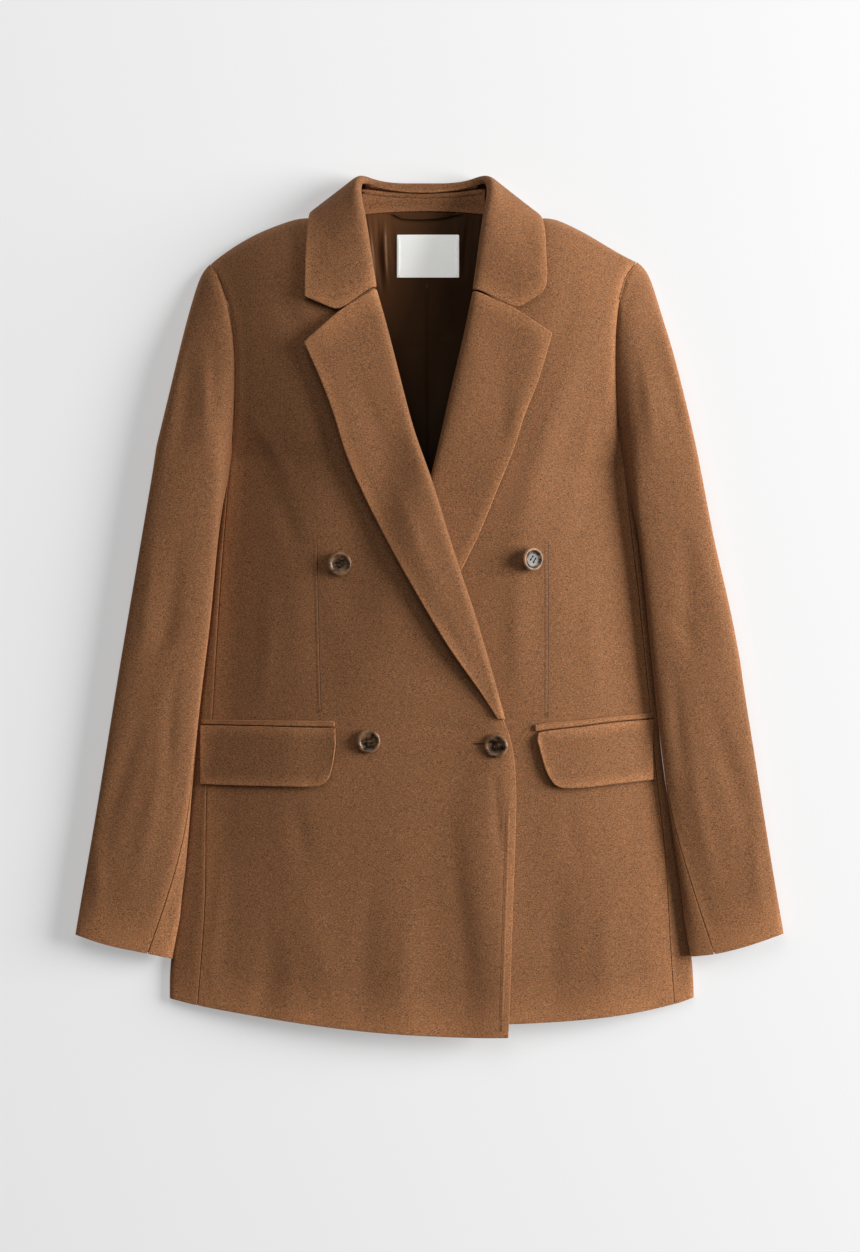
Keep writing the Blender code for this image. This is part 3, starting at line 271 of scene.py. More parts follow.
def scaled_colour(tree, colour, amount):
    node = tree.nodes.new("ShaderNodeVectorMath")
    node.operation = "SCALE"
    tree.links.new(colour, node.inputs[0])
    tree.links.new(amount, node.inputs["Scale"])
    return node.outputs[0]


CLOTH_OUTPUTS = (
    ("Colour", "NodeSocketColor"), ("Height", "NodeSocketFloat"), ("Roughness", "NodeSocketFloat"))
WARM_THREAD, COOL_THREAD = (1.05, 0.99, 0.99), (0.95, 1.01, 1.01)   # tints of single threads
PAINTED_EDGE_HIGHLIGHT = 1.4     # painted highlight: how much lighter the cloth's colour is made along its rounded edges, where light catches them


def weave_group():
    """Plain weave of slubby threads: colour, height and roughness over the cloth."""
    name = "Suiting weave"
    if name in bpy.data.node_groups:
        return bpy.data.node_groups[name]
    group, start, end = new_group(
        name,
        [("Place", "NodeSocketVector", None), ("Colour", "NodeSocketColor", (0.2, 0.1, 0.05, 1)),
         ("Threads per metre", "NodeSocketFloat", 1600.0), ("Heather", "NodeSocketFloat", 1.0),
         ("Painted edge highlight", "NodeSocketFloat", 0.0)],
        CLOTH_OUTPUTS)
    place = start.outputs["Place"]
    weft = stretched_noise(group, place, (640, 1700, 900), 1.0, 0.6)
    warp = stretched_noise(group, place, (1700, 760, 900), 1.0, 0.6)
    grain = stretched_noise(group, place, (1400, 1400, 1400), 1.0)
    cloud = stretched_noise(group, place, (16, 11, 14), 2.0)
    slubs = stretched_noise(group, place, (900, 500, 600), 2.0)
    threads = maths(group, "ADD", maths(group, "MULTIPLY", weft, 0.46), maths(group, "MULTIPLY", warp, 0.30))
    threads = maths(group, "ADD", threads, maths(group, "MULTIPLY", grain, 0.24))
    spread = maths(group, "MULTIPLY", maths(group, "SUBTRACT", threads, 0.5), start.outputs["Heather"])
    shade = remap(group, spread, -0.16, 0.16, 0.26, 1.74)
    shade = maths(group, "MULTIPLY", shade, remap(group, cloud, 0.3, 0.7, 0.97, 1.03))
    # painted highlight: the cloth's colour is lightened where the mesh marks a rounded edge
    edge_highlight_gain = remap(group, start.outputs["Painted edge highlight"], 0.0, 1.0, 1.0, PAINTED_EDGE_HIGHLIGHT)
    shade = maths(group, "MULTIPLY", shade, edge_highlight_gain)
    hue = remap(group, slubs, 0.38, 0.62, 0.0, 1.0)
    warm = multiplied(group, start.outputs["Colour"], WARM_THREAD)
    cool = multiplied(group, start.outputs["Colour"], COOL_THREAD)
    colour = scaled_colour(group, tinted(group, hue, warm, cool), shade)
    group.links.new(colour, end.inputs["Colour"])

    parts = group.nodes.new("ShaderNodeSeparateXYZ")
    group.links.new(place, parts.inputs[0])
    turn = maths(group, "MULTIPLY", start.outputs["Threads per metre"], pi)
    over = maths(group, "SINE", maths(group, "MULTIPLY", parts.outputs[0], turn))
    under = maths(group, "SINE", maths(group, "MULTIPLY", parts.outputs[1], turn))
    woven = maths(group, "MULTIPLY", over, under)
    height = maths(group, "ADD", maths(group, "MULTIPLY", woven, 0.3), threads)
    group.links.new(height, end.inputs["Height"])
    group.links.new(remap(group, threads, 0.3, 0.7, 0.9, 0.78), end.inputs["Roughness"])
    return group


def satin_group():
    """Fine upright ribs, and painted light and shade that can darken the colour down and to the left and
    lighten it up and to the right, for satin and tape.
    """
    name = "Satin face"
    if name in bpy.data.node_groups:
        return bpy.data.node_groups[name]
    group, start, end = new_group(
        name,
        [("Place", "NodeSocketVector", None), ("Colour", "NodeSocketColor", (0.1, 0.05, 0.02, 1)),
         ("Painted light and shade", "NodeSocketFloat", 0.0)],
        CLOTH_OUTPUTS)
    place = start.outputs["Place"]
    apart = group.nodes.new("ShaderNodeSeparateXYZ")
    group.links.new(place, apart.inputs["Vector"])
    # painted light and shade: darker towards the hem and the wearer's left, where the deep neck opening lies
    # in shadow, lighter towards the collar and the wearer's right
    tone = maths(group, "MULTIPLY", remap(group, apart.outputs["Y"], 0.13, 0.34, 0.03, 1.9),
                 remap(group, apart.outputs["X"], -0.06, 0.02, 1.75, 0.4))
    turned = maths(group, "MULTIPLY", maths(group, "SUBTRACT", tone, 1.0), start.outputs["Painted light and shade"])
    painted_light_and_shade = maths(group, "ADD", turned, 1.0)
    ribs = stretched_noise(group, place, (2200, 120, 300), 2.0)
    cloud = stretched_noise(group, place, (40, 14, 20), 2.0)
    shade = maths(group, "MULTIPLY", remap(group, ribs, 0.3, 0.7, 0.93, 1.07),
                  remap(group, cloud, 0.3, 0.7, 0.9, 1.1))
    shade = maths(group, "MULTIPLY", shade, painted_light_and_shade)
    group.links.new(scaled_colour(group, start.outputs["Colour"], shade), end.inputs["Colour"])
    group.links.new(ribs, end.inputs["Height"])
    group.links.new(remap(group, cloud, 0.3, 0.7, 0.34, 0.48), end.inputs["Roughness"])
    return group


def horn_group():
    """Clouded horn: dark middle with paler streaks that gather towards the rim."""
    name = "Clouded horn"
    if name in bpy.data.node_groups:
        return bpy.data.node_groups[name]
    group, start, end = new_group(
        name,
        [("Place", "NodeSocketVector", None), ("Dark", "NodeSocketColor", (0.02, 0.012, 0.008, 1)),
         ("Pale", "NodeSocketColor", (0.27, 0.14, 0.065, 1)), ("Rim", "NodeSocketFloat", 0.0)],
        [("Colour", "NodeSocketColor"), ("Roughness", "NodeSocketFloat")])
    place = start.outputs["Place"]
    streaks = stretched_noise(group, place, (110, 320, 200), 4.0, 0.65)
    clouds = stretched_noise(group, place, (180, 120, 150), 2.0)
    near_rim = maths(group, "MULTIPLY", start.outputs["Rim"], 0.24)
    mixed = maths(group, "ADD", maths(group, "ADD", maths(group, "MULTIPLY", streaks, 0.6),
                                      maths(group, "MULTIPLY", clouds, 0.4)), near_rim)
    pale = remap(group, mixed, 0.52, 0.78, 0.0, 1.0)
    group.links.new(tinted(group, pale, start.outputs["Dark"], start.outputs["Pale"]), end.inputs["Colour"])
    group.links.new(remap(group, streaks, 0.3, 0.7, 0.26, 0.42), end.inputs["Roughness"])
    return group


def grouped_material(name, group, values, turn=0.0, bump=None, constants=()):
    """Material of one Principled shader fed by a group that reads the piece's own coordinates."""
    if name in bpy.data.materials:
        return bpy.data.materials[name]
    material = bpy.data.materials.new(name)
    material.use_nodes = True
    tree = material.node_tree
    surface = tree.nodes["Principled BSDF"]
    where = tree.nodes.new("ShaderNodeTexCoord")
    mapping = tree.nodes.new("ShaderNodeMapping")
    mapping.inputs["Rotation"].default_value = (0.0, 0.0, -radians(turn))
    tree.links.new(where.outputs["Object"], mapping.inputs["Vector"])
    pattern = tree.nodes.new("ShaderNodeGroup")
    pattern.node_tree = group
    tree.links.new(mapping.outputs["Vector"], pattern.inputs["Place"])
    for label, value in values.items():
        pattern.inputs[label].default_value = value
    tree.links.new(pattern.outputs["Colour"], surface.inputs["Base Color"])
    tree.links.new(pattern.outputs["Roughness"], surface.inputs["Roughness"])
    if bump:
        strength, distance = bump
        relief = tree.nodes.new("ShaderNodeBump")
        relief.inputs["Strength"].default_value = strength
        relief.inputs["Distance"].default_value = distance
        tree.links.new(pattern.outputs["Height"], relief.inputs["Height"])
        tree.links.new(relief.outputs["Normal"], surface.inputs["Normal"])
    for label, value in constants:
        surface.inputs[label].default_value = value
    if "Colour" in values:
        material.diffuse_color = values["Colour"]
    return material


def reads(material, attribute, label):
    """The material, with an attribute of the mesh feeding one input of its group."""
    tree = material.node_tree
    pattern = next(node for node in tree.nodes if node.type == "GROUP")
    if not pattern.inputs[label].is_linked:
        source = tree.nodes.new("ShaderNodeAttribute")
        source.attribute_name = attribute
        tree.links.new(source.outputs["Fac"], pattern.inputs[label])
    return material


def suiting(turn):
    colour = (*settings().cloth_colour, 1.0)
    material = grouped_material(
        f"suiting grain {turn}", weave_group(),
        {"Colour": colour, "Threads per metre": 1 / settings().thread_pitch, "Heather": 1.0},
        turn, (0.55, 0.0004),
        (("Sheen Weight", 0.12), ("Sheen Roughness", 0.4), ("Sheen Tint", (0.75, 0.55, 0.42, 1.0)),
         ("Specular IOR Level", 0.25)))
    # the mesh's mark for the painted edge highlight feeds the group
    return reads(material, "painted_highlight", "Painted edge highlight")


def satin():
    # the lining is given the full painted light and shade of its group
    return grouped_material(
        "satin lining", satin_group(), {"Colour": (*settings().lining_colour, 1.0), "Painted light and shade": 1.0}, 0,
        (0.2, 0.0002), (("Specular IOR Level", 0.3), ("Specular Tint", (0.8, 0.5, 0.3, 1.0))))


def tape():
    # painted light: the label glows a little, standing in for light that reaches it inside the neck opening
    return grouped_material(
        "label tape with painted glow", satin_group(), {"Colour": (*settings().label_colour, 1.0)}, 90,
        (0.25, 0.0002), (("Specular IOR Level", 0.35), ("Emission Color", (1.0, 1.0, 0.98, 1.0)),
                         ("Emission Strength", 0.30)))


def plain_ribbed_material(name, colour, roughness=0.6):
    if name in bpy.data.materials:
        return bpy.data.materials[name]
    return grouped_material(name, satin_group(), {"Colour": (*colour, 1.0)}, 45, (0.3, 0.0002),
                            (("Specular IOR Level", 0.3),))


# ---------------------------------------------------------------- cloth pieces
def mesh_of(name, shape):
    """Mesh made from a bmesh that isn't used again."""
    mesh = bpy.data.meshes.new(name)
    shape.to_mesh(mesh)
    shape.free()
    return mesh


def placed(name, data):
    """Object of its own in the scene."""
    thing = bpy.data.objects.new(name, data)
    bpy.context.scene.collection.objects.link(thing)
    return thing


def merged(node):
    """A copy of a node's mesh with its corners merged and its triangles joined."""
    shape = bmesh.new()
    shape.from_mesh(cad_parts[node].data)
    bmesh.ops.remove_doubles(shape, verts=shape.verts[:], dist=0.02 * MM)
    bmesh.ops.join_triangles(shape, faces=shape.faces[:], cmp_seam=False, cmp_sharp=False, cmp_uvs=False,
                             cmp_vcols=False, cmp_materials=False, angle_face_threshold=radians(40),
                             angle_shape_threshold=radians(70))
    return shape


RIM_ANGLE = radians(62)
CORNER_ANGLE, CORNER_LIMIT = radians(24), radians(80)
CORNER_HOLD = 1.2 * MM      # distance from a corner to the cut that keeps it crisp


def keep_corners(shape):
    """Cut the rim close to each sharp corner of a sheet, so that smoothing can't round it off."""
    rim = {edge for edge in shape.edges if edge.is_manifold and edge.calc_face_angle() > RIM_ANGLE}
    cuts = {}
    for corner in shape.verts:
        edges = [edge for edge in corner.link_edges if edge in rim]
        for first in edges:
            for second in edges:
                if first is second or set(first.link_faces).isdisjoint(second.link_faces):
                    continue
                ways = [(edge.other_vert(corner).co - corner.co).normalized() for edge in (first, second)]
                if CORNER_ANGLE < pi - ways[0].angle(ways[1]) < CORNER_LIMIT:
                    cuts.setdefault(first, set()).add(corner)
    for edge, corners in cuts.items():
        length = edge.calc_length()
        if length < 4 * CORNER_HOLD:
            continue
        for corner in corners:
            if corner in edge.verts:
                bmesh.utils.edge_split(edge, corner, CORNER_HOLD / length)
                break


def softened(name, shape, levels, rounding=None):
    """Object whose cloth edges are rounded and whose faces are subdivided."""
    keep_corners(shape)
    rim = [edge for edge in shape.edges if edge.is_manifold and edge.calc_face_angle() > RIM_ANGLE]
    # the faces that round the edges are marked for a painted highlight
    painted_highlight = shape.verts.layers.float.new("painted_highlight")
    rounded = bmesh.ops.bevel(shape, geom=rim, offset=rounding or settings().edge_round, segments=2,
                              offset_type="OFFSET", profile=0.5, affect="EDGES", clamp_overlap=True,
                              material=-1)
    for face in rounded["faces"]:
        for vertex in face.verts:
            vertex[painted_highlight] = 1.0
    rough = mesh_of(name + "_rough", shape)
    holder = placed(name + "_rough", rough)
    divide = holder.modifiers.new("smooth", "SUBSURF")
    divide.levels = levels
    divide.render_levels = levels
    graph = bpy.context.evaluated_depsgraph_get()
    mesh = bpy.data.meshes.new_from_object(holder.evaluated_get(graph))
    bpy.data.objects.remove(holder, do_unlink=True)
    bpy.data.meshes.remove(rough)
    mesh.name = name
    mesh.shade_smooth()
    return placed(name, mesh)


def fold_relief(x, y, folds):
    """Height that a table of soft folds adds at places x, y in millimetres."""
    total = np.zeros_like(x)
    for start_x, start_y, end_x, end_y, width, depth in folds:
        run_x, run_y = end_x - start_x, end_y - start_y
        length = (run_x ** 2 + run_y ** 2) ** 0.5
        along = ((x - start_x) * run_x + (y - start_y) * run_y) / length ** 2
        aside = ((x - start_x) * run_y - (y - start_y) * run_x) / length
        aside = aside + width * 0.35 * np.sin(3.1 * along + start_x)
        spread = width * (0.8 + 0.3 * np.clip(along, 0, 1))
        fade = np.where((along > -0.15) & (along < 1.15), np.cos((along - 0.5) / 1.3 * pi) ** 2, 0.0)
        total += depth * fade * np.exp(-(aside / spread * 1.7) ** 2)
    return total * settings().fold_depth


def seam_relief(x, y):
    """Trough along the armhole seams, where the cloth of both pieces turns in."""
    nearest = np.full_like(x, 100.0)
    for line in SEAM_TROUGHS:
        for (start_x, start_y), (end_x, end_y) in zip(line, line[1:]):
            run_x, run_y = end_x - start_x, end_y - start_y
            along = ((x - start_x) * run_x + (y - start_y) * run_y) / (run_x ** 2 + run_y ** 2)
            along = np.clip(along, 0, 1)
            nearest = np.minimum(nearest, np.hypot(x - start_x - along * run_x, y - start_y - along * run_y))
    return TROUGH_DEPTH * np.exp(-(nearest / TROUGH_WIDTH) ** 2)


def body_relief(x, y):
    dome = DOME_HEIGHT * np.clip(1 - ((x - DOME_MIDDLE) / DOME_REACH) ** 2, 0, 1)
    dome = dome * np.clip((DOME_END - y) / DOME_FADE, 0, 1)
    return fold_relief(x, y, BODY_FOLDS) + seam_relief(x, y) + dome


def points_of(piece):
    flat = np.empty(len(piece.data.vertices) * 3)
    piece.data.vertices.foreach_get("co", flat)
    return flat.reshape(-1, 3) / MM


def set_points(piece, points):
    piece.data.vertices.foreach_set("co", (points * MM).ravel())
    piece.data.update()


def raise_by(piece, relief, floor=4.0, full=14.0):
    """Lift a piece by relief(x, y), not at all below the height floor and fully above full."""
    points = points_of(piece)
    share = np.clip((points[:, 2] - floor) / (full - floor), 0, 1)
    points[:, 2] += relief(points[:, 0], points[:, 1]) * share
    set_points(piece, points)


def swell(piece, amount, near, far):
    """Push cloth out by amount at x = near, fading to none at x = far, where sleeve and body touch."""
    points = points_of(piece)
    x, y = np.abs(points[:, 0]), points[:, 1]
    share = np.clip((x - far) / (near - far), 0, 1) * np.clip((SWELL_TOP - y) / SWELL_FADE, 0, 1)
    points[:, 0] += np.sign(points[:, 0]) * amount * share * np.exp(-((y - SWELL_MIDDLE) / SWELL_REACH) ** 2)
    set_points(piece, points)


def finish_piece(piece, node, material):
    piece.data.materials.clear()
    piece.data.materials.append(material)
    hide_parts(node)
    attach(piece, "root")


def cloth_piece(node, slot="body_cloth", levels=None):
    rounding = settings().turned_round if slot == "turned_cloth" else None
    piece = softened(node + "_cloth", merged(node), levels or settings().smoothness, rounding)
    finish_piece(piece, node, suiting(GRAIN[node]))
    return piece


def surface_of(*names):
    """Tree for finding the top face of some finished pieces."""
    corners, faces = [], []
    for name in names:
        mesh = bpy.data.objects[name].data
        first = len(corners)
        corners.extend(vertex.co for vertex in mesh.vertices)
        faces.extend(tuple(first + index for index in polygon.vertices) for polygon in mesh.polygons)
    return BVHTree.FromPolygons(corners, faces)


def on_top(tree, x, y):
    """Point and normal of the highest cloth at x, y in millimetres."""
    place, normal, _, _ = tree.ray_cast(Vector((x * MM, y * MM, RAY_HEIGHT)), Vector((0, 0, -1)))
    if place is None:
        raise RuntimeError(f"no cloth under {x:.0f}, {y:.0f}")
    return place, (normal if normal.z > 0 else -normal)


def joined(name, shape, material):
    """One finished object from a bmesh of small parts."""
    bmesh.ops.recalc_face_normals(shape, faces=shape.faces[:])
    mesh = mesh_of(name, shape)
    mesh.shade_smooth()
    mesh.materials.append(material)
    piece = placed(name, mesh)
    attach(piece, "root")
    return piece


def add_stitch(shape, start, end, up, radius):
    """Rounded thread from start to end, sunk a little at its two ends."""
    along = end - start
    length = along.length
    made = bmesh.ops.create_uvsphere(shape, u_segments=6, v_segments=5, radius=1.0)
    side = up.cross(along).normalized()
    frame_of = Matrix((side, along.normalized(), side.cross(along).normalized())).transposed().to_4x4()
    size = Matrix.Diagonal((radius, length / 2, radius, 1.0))
    place = Matrix.Translation((start + end) / 2) @ frame_of @ size @ Matrix.Rotation(pi / 2, 4, "X")
    bmesh.ops.transform(shape, matrix=place, verts=made["verts"])


def path_points(points, step):
    """Places every step millimetres along a line of points, with the direction there."""
    places = []
    spare = 0.0
    for first, second in zip(points, points[1:]):
        first, second = Vector(first), Vector(second)
        length = (second - first).length
        heading = (second - first) / length
        at = spare
        while at < length:
            places.append((first + heading * at, heading))
            at += step
        spare = at - length
    return places


def close_strip(shape, rings):
    """Faces of a strip through rings of points, closed at both ends."""
    count = len(rings[0])
    for first, second in zip(rings, rings[1:]):
        for index in range(count):
            after = (index + 1) % count
            shape.faces.new((first[index], first[after], second[after], second[index]))
    shape.faces.new(rings[0][::-1])
    shape.faces.new(rings[-1])


def add_ridge(shape, tree, points, profile, step=4.0):
    """Strip of cloth along a sewn line, whose cross section is profile: offset, height above the cloth."""
    places = path_points(points, step)
    rings = []
    for index, (place, heading) in enumerate(places):
        aside = Vector((heading.y, -heading.x))
        fade = min(1.0, (index + 0.3) / 4, (len(places) - index - 0.7) / 4)
        ring = []
        for offset, rise in profile:
            at = place + aside * offset
            ground, _ = on_top(tree, at.x, at.y)
            ring.append(shape.verts.new(ground + Vector((0, 0, (rise * fade if rise > 0 else rise) * MM))))
        rings.append(ring)
    close_strip(shape, rings)


def sewn(name, lines, profile, step, material):
    """One finished object of strips along sewn lines, each given as a tree to lie on and its points."""
    shape = bmesh.new()
    for tree, points in lines:
        add_ridge(shape, tree, points, profile, step)
    return joined(name, shape, material)


# cross sections of sewn lines: offset from the line, height over the cloth, then back underneath
LIP = ((-0.1, -0.25), (0.1, 0.10), (0.7, 0.20), (1.6, 0.16), (3.0, 0.04), (3.8, -0.25), (1.0, -0.6))
CREASE = ((-0.8, -0.06), (-0.6, 0.12), (0.0, 0.12), (0.2, -0.06), (-0.3, -0.3))
WELT_EDGE = ((-0.5, -0.05), (-0.2, 0.18), (0.2, 0.18), (0.5, -0.05), (0.0, -0.4))
PRESSED = ((-4.0, -0.06), (-1.6, 0.10), (-0.4, 0.16), (0.0, -0.05), (0.4, 0.12), (1.4, -0.06), (0.0, -0.4))
WELTED = ((-1.3, -0.05), (-0.6, 0.35), (0.0, 0.12), (0.6, 0.35), (1.3, -0.05), (0.0, -0.4))
ROLLED = ((-1.4, -0.1), (-0.8, 0.40), (0.0, 0.55), (0.8, 0.40), (1.4, -0.1), (0.0, -0.4))
WORKED = ((-0.8, -0.05), (-0.5, 0.28), (-0.12, 0.02), (0.12, 0.02), (0.5, 0.28), (0.8, -0.05), (0.0, -0.4))
# how far beside a gap its cloth is looked for, how far apart the heights count as, and the strip's depth
SEAM_REACH = (1.6, 2.4, 3.2, 4.0, 5.0, 6.0)
SEAM_SPAN, SEAM_THICK = 4.0, 0.6


def add_seam_fill(shape, tree, points, width=1.0, depth=0.55, reach=SEAM_REACH):
    """Cloth seen at the bottom of the gap between two pieces that are sewn together."""
    rings = []
    for place, heading in path_points(points, 3.0):
        aside = Vector((heading.y, -heading.x))
        heights = []
        for way in (-1, 1):
            found = None
            for offset in reach:
                at = (place + aside * offset * way) * MM
                found = tree.ray_cast(Vector((at.x, at.y, RAY_HEIGHT)), Vector((0, 0, -1)))[0]
                if found:
                    break
            if not found:
                raise RuntimeError(f"no cloth beside the seam at {place.x:.0f}, {place.y:.0f}")
            heights.append(found.z / MM)
        ring = []
        for offset, drop in ((-width, 0.0), (width, 0.0), (0.0, SEAM_THICK)):
            at = place + aside * offset
            level = heights[0] + (heights[1] - heights[0]) * (offset / SEAM_SPAN + 0.5)
            ring.append(shape.verts.new(Vector((at.x, at.y, level - depth - drop)) * MM))
        rings.append(ring)
    close_strip(shape, rings)


# ---------------------------------------------------------------- operators
class BLAZER_OT_body(Operator):
    """Backs, side panels and fronts"""
    bl_idname = "blazer.body"
    bl_label = "Body"

    def execute(self, context):
        for side in SIDES:
            swell(cloth_piece("back_" + side), *BODY_SWELL)
            for base in ("side_panel_", "front_"):
                piece = cloth_piece(base + side, levels=settings().smoothness + (base == "front_"))
                raise_by(piece, body_relief)
                swell(piece, *BODY_SWELL)
        return {"FINISHED"}


class BLAZER_OT_sleeves(Operator):
    """Top sleeves and under sleeves"""
    bl_idname = "blazer.sleeves"
    bl_label = "Sleeves"

    def execute(self, context):
        for side in SIDES:
            for base in ("top_sleeve_", "under_sleeve_"):
                piece = cloth_piece(base + side, levels=settings().smoothness + (base == "top_sleeve_"))
                raise_by(piece, lambda x, y: fold_relief(x, y, SLEEVE_FOLDS[side]) + seam_relief(x, y),
                         6.0, 16.0)
                swell(piece, *SLEEVE_SWELL)
        return {"FINISHED"}


class BLAZER_OT_collar(Operator):
    """Collar and lapels"""
    bl_idname = "blazer.collar"
    bl_label = "Collar and lapels"

    def execute(self, context):
        for side in SIDES:
            piece = cloth_piece("lapel_" + side, "turned_cloth")
            raise_by(piece, lambda x, y: body_relief(x, y) + fold_relief(x, y, LAPEL_FOLDS[side]))
        piece = cloth_piece("collar", "turned_cloth")
        raise_by(piece, lambda x, y: body_relief(x, y) + fold_relief(x, y, COLLAR_FOLDS), 12.0, 26.0)
        tree = surface_of("collar_cloth", "lapel_right_cloth", "lapel_left_cloth")
        shape = bmesh.new()
        for line in GORGES:
            add_seam_fill(shape, tree, line)
        joined("gorge_seams", shape, suiting(0))
        shape = bmesh.new()
        for side, line in zip(SIDES, ARMHOLE_TOPS):
            tree = surface_of(f"front_{side}_cloth", f"top_sleeve_{side}_cloth")
            add_seam_fill(shape, tree, line, 1.3, 0.4)
        joined("armhole_seams", shape, suiting(0))
        return {"FINISHED"}


class BLAZER_OT_neck(Operator):
    """Neck facing, lining, hanger loop and blank label"""
    bl_idname = "blazer.neck"
    bl_label = "Inside the neck"

    def execute(self, context):
        cloth_piece("back_neck_facing", "turned_cloth", 2)
        lining = softened("lining_satin", merged("lining"), 3)
        raise_by(lining, lambda x, y: np.maximum(fold_relief(x, y, LINING_FOLDS), -0.7), 2.0, 3.0)
        finish_piece(lining, "lining", satin())
        loop = softened("hanger_loop_cloth", merged("hanger_loop"), 2)
        finish_piece(loop, "hanger_loop", satin())
        label = softened("label_tape", merged("label"), 2)
        finish_piece(label, "label", tape())
        sewn("lining_centre_seam", [(surface_of("lining_satin"), CENTRE_SEAM)], WELTED, 4.0, satin())
        shape = bmesh.new()
        add_ridge(shape, surface_of("back_neck_facing_cloth"), NECK_SEAM, ROLLED, 3.0)
        tree = surface_of("back_neck_facing_cloth", "collar_cloth")
        add_seam_fill(shape, tree, NECK_GAP, 2.9, 0.25, (3.0, 4.0))
        joined("neck_seam", shape, suiting(0))
        low, high = (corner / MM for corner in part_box("label"))
        tree = surface_of("label_tape")
        ends = [(tree, ((x, low.y + 0.9), (x, high.y - 0.9))) for x in (low.x + 1.7, high.x - 1.7)]
        sewn("label_folded_ends", ends, ROLLED, 1.5, tape())
        return {"FINISHED"}


class BLAZER_OT_pockets(Operator):
    """Welts and flaps"""
    bl_idname = "blazer.pockets"
    bl_label = "Pockets"

    def execute(self, context):
        for side in SIDES:
            for base in ("welt_", "flap_"):
                raise_by(cloth_piece(base + side, "turned_cloth"), body_relief)
        return {"FINISHED"}


# shades of the cloth's colour: painted shade for the creases, a painted highlight for the welt edges and the
# sewing thread's own colour; and the pick stitches in millimetres
CREASE_PAINTED_SHADE, WELT_EDGE_PAINTED_HIGHLIGHT, THREAD_SHADE = 0.22, 1.45, 0.5
PICK_PITCH, PICK_LENGTH, PICK_RADIUS = 3.0, 1.2, 0.22
WELT_HEAD = {
    "right": ((-203.5, -102.2), (-137.0, -102.7), (-86.0, -103.1)),
    "left": ((95.0, -106.3), (100.4, -104.9), (131.0, -102.7), (162.4, -99.1), (198.5, -96.6)),
}
WELT_FOOT = {
    "right": ((-203.5, -106.2), (-137.0, -107.2), (-86.0, -107.8)),
    "left": ((95.5, -112.2), (100.4, -111.0), (131.0, -107.6), (162.4, -103.4), (198.5, -101.0)),
}
WELT_TOP = {"right": (-102.0, -0.006), "left": (-105.0, 0.085)}   # y at the low x end, slope


class BLAZER_OT_stitching(Operator):
    """Darts, pick stitches and the buttonhole"""
    bl_idname = "blazer.stitching"
    bl_label = "Stitching"

    def execute(self, context):
        cloth = settings().cloth_colour
        fronts = surface_of("front_right_cloth", "front_left_cloth")
        for node, line in DARTS.items():
            sewn("dart_" + node, [(fronts, line)], LIP, 4.0, suiting(0))
        # painted shade: a strip much darker than the cloth along the darts and under the welts, where shadow
        # falls in the creases
        crease = plain_ribbed_material("painted crease shade", [value * CREASE_PAINTED_SHADE for value in cloth])
        sewn("dart_crease_shade", [(fronts, line) for line in DARTS.values()], CREASE, 3.0, crease)
        feet, heads = [], []
        for side in SIDES:
            names = [base + side + "_cloth" for base in ("front_", "side_panel_", "welt_", "flap_")]
            feet.append((surface_of(*names), WELT_FOOT[side]))
            heads.append((surface_of(*names[:3]), WELT_HEAD[side]))
        sewn("welt_crease_shade", feet, CREASE, 3.0, crease)
        # painted highlight: a strip lighter than the cloth along the welts' top edges, where light catches
        # them
        painted_highlight = plain_ribbed_material("pressed edge", [value * WELT_EDGE_PAINTED_HIGHLIGHT for value in cloth])
        sewn("welt_edge_highlights", heads, WELT_EDGE, 3.0, painted_highlight)
        sewn("front_edge_pressing", [(fronts, PRESSED_LINE)], PRESSED, 6.0, suiting(0))
        twist = plain_ribbed_material("buttonhole twist", (0.055, 0.024, 0.011))
        sewn("buttonhole_edge", [(fronts, BUTTONHOLE)], WORKED, 0.8, twist)
        thread = plain_ribbed_material("sewing thread", [value * THREAD_SHADE for value in cloth])
        shape = bmesh.new()
        for side in SIDES:
            tree = surface_of(f"front_{side}_cloth", f"welt_{side}_cloth")
            low, high = (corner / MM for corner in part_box("welt_" + side))
            steps = int((high.x - low.x) / PICK_PITCH)
            for step in range(1, steps):
                x = low.x + step * (high.x - low.x) / steps
                y = WELT_TOP[side][0] + (x - low.x) * WELT_TOP[side][1] - 1.0
                place, up = on_top(tree, x, y)
                heading = Vector((PICK_LENGTH / 2, 0.0, 0.0)) * MM
                add_stitch(shape, place - heading, place + heading, up, PICK_RADIUS * MM)
        joined("pick_stitches", shape, thread)
        return {"FINISHED"}


def button_frame(node):
    """Middle of a button's base and its three axes, from its solid."""
    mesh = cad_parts[node].data
    points = np.array([vertex.co[:] for vertex in mesh.vertices])
    points = np.unique(np.round(points, 6), axis=0)
    _, axes = np.linalg.eigh(np.cov(points.T))
    up = Vector(axes[:, 0])
    up = up if up.z > 0 else -up
    across = Vector((1, 0, 0))
    ahead = up.cross(across).normalized()
    across = ahead.cross(up).normalized()
    heights = points @ np.array(up)
    rim = points[np.abs(heights - heights.min()) < 0.0007]
    middle = Vector(points.mean(axis=0))
    low = Vector(rim.mean(axis=0))
    base = middle + up * (low - middle).dot(up)
    turn = Matrix((across, ahead, up)).transposed().to_4x4()
    return Matrix.Translation(base) @ turn


BUTTON_PROFILE = (
    # radius, height: from the middle of the dish, over the rim, to the middle of the base
    (0.0, 2.3), (4.0, 2.3), (6.2, 2.4), (7.0, 2.7), (7.7, 3.3), (8.6, 3.7), (9.6, 3.6),
    (10.4, 3.0), (10.8, 2.2), (10.5, 1.3), (9.6, 0.5), (8.0, 0.0), (0.0, 0.0),
)
BUTTON_RADIUS = max(radius for radius, _ in BUTTON_PROFILE)
HOLE_OFFSET, HOLE_RADIUS = 1.8, 0.95
THREAD_RADIUS, THREAD_GAP, THREAD_LEVEL = 0.26, 0.28, 2.35
SHANK_FOOT, SHANK_HEAD = 2.3, 2.0


def button_turn(number):
    """No two buttons are sewn on with their holes at the same angle."""
    return Matrix.Rotation(0.5 + number, 4, "Z")


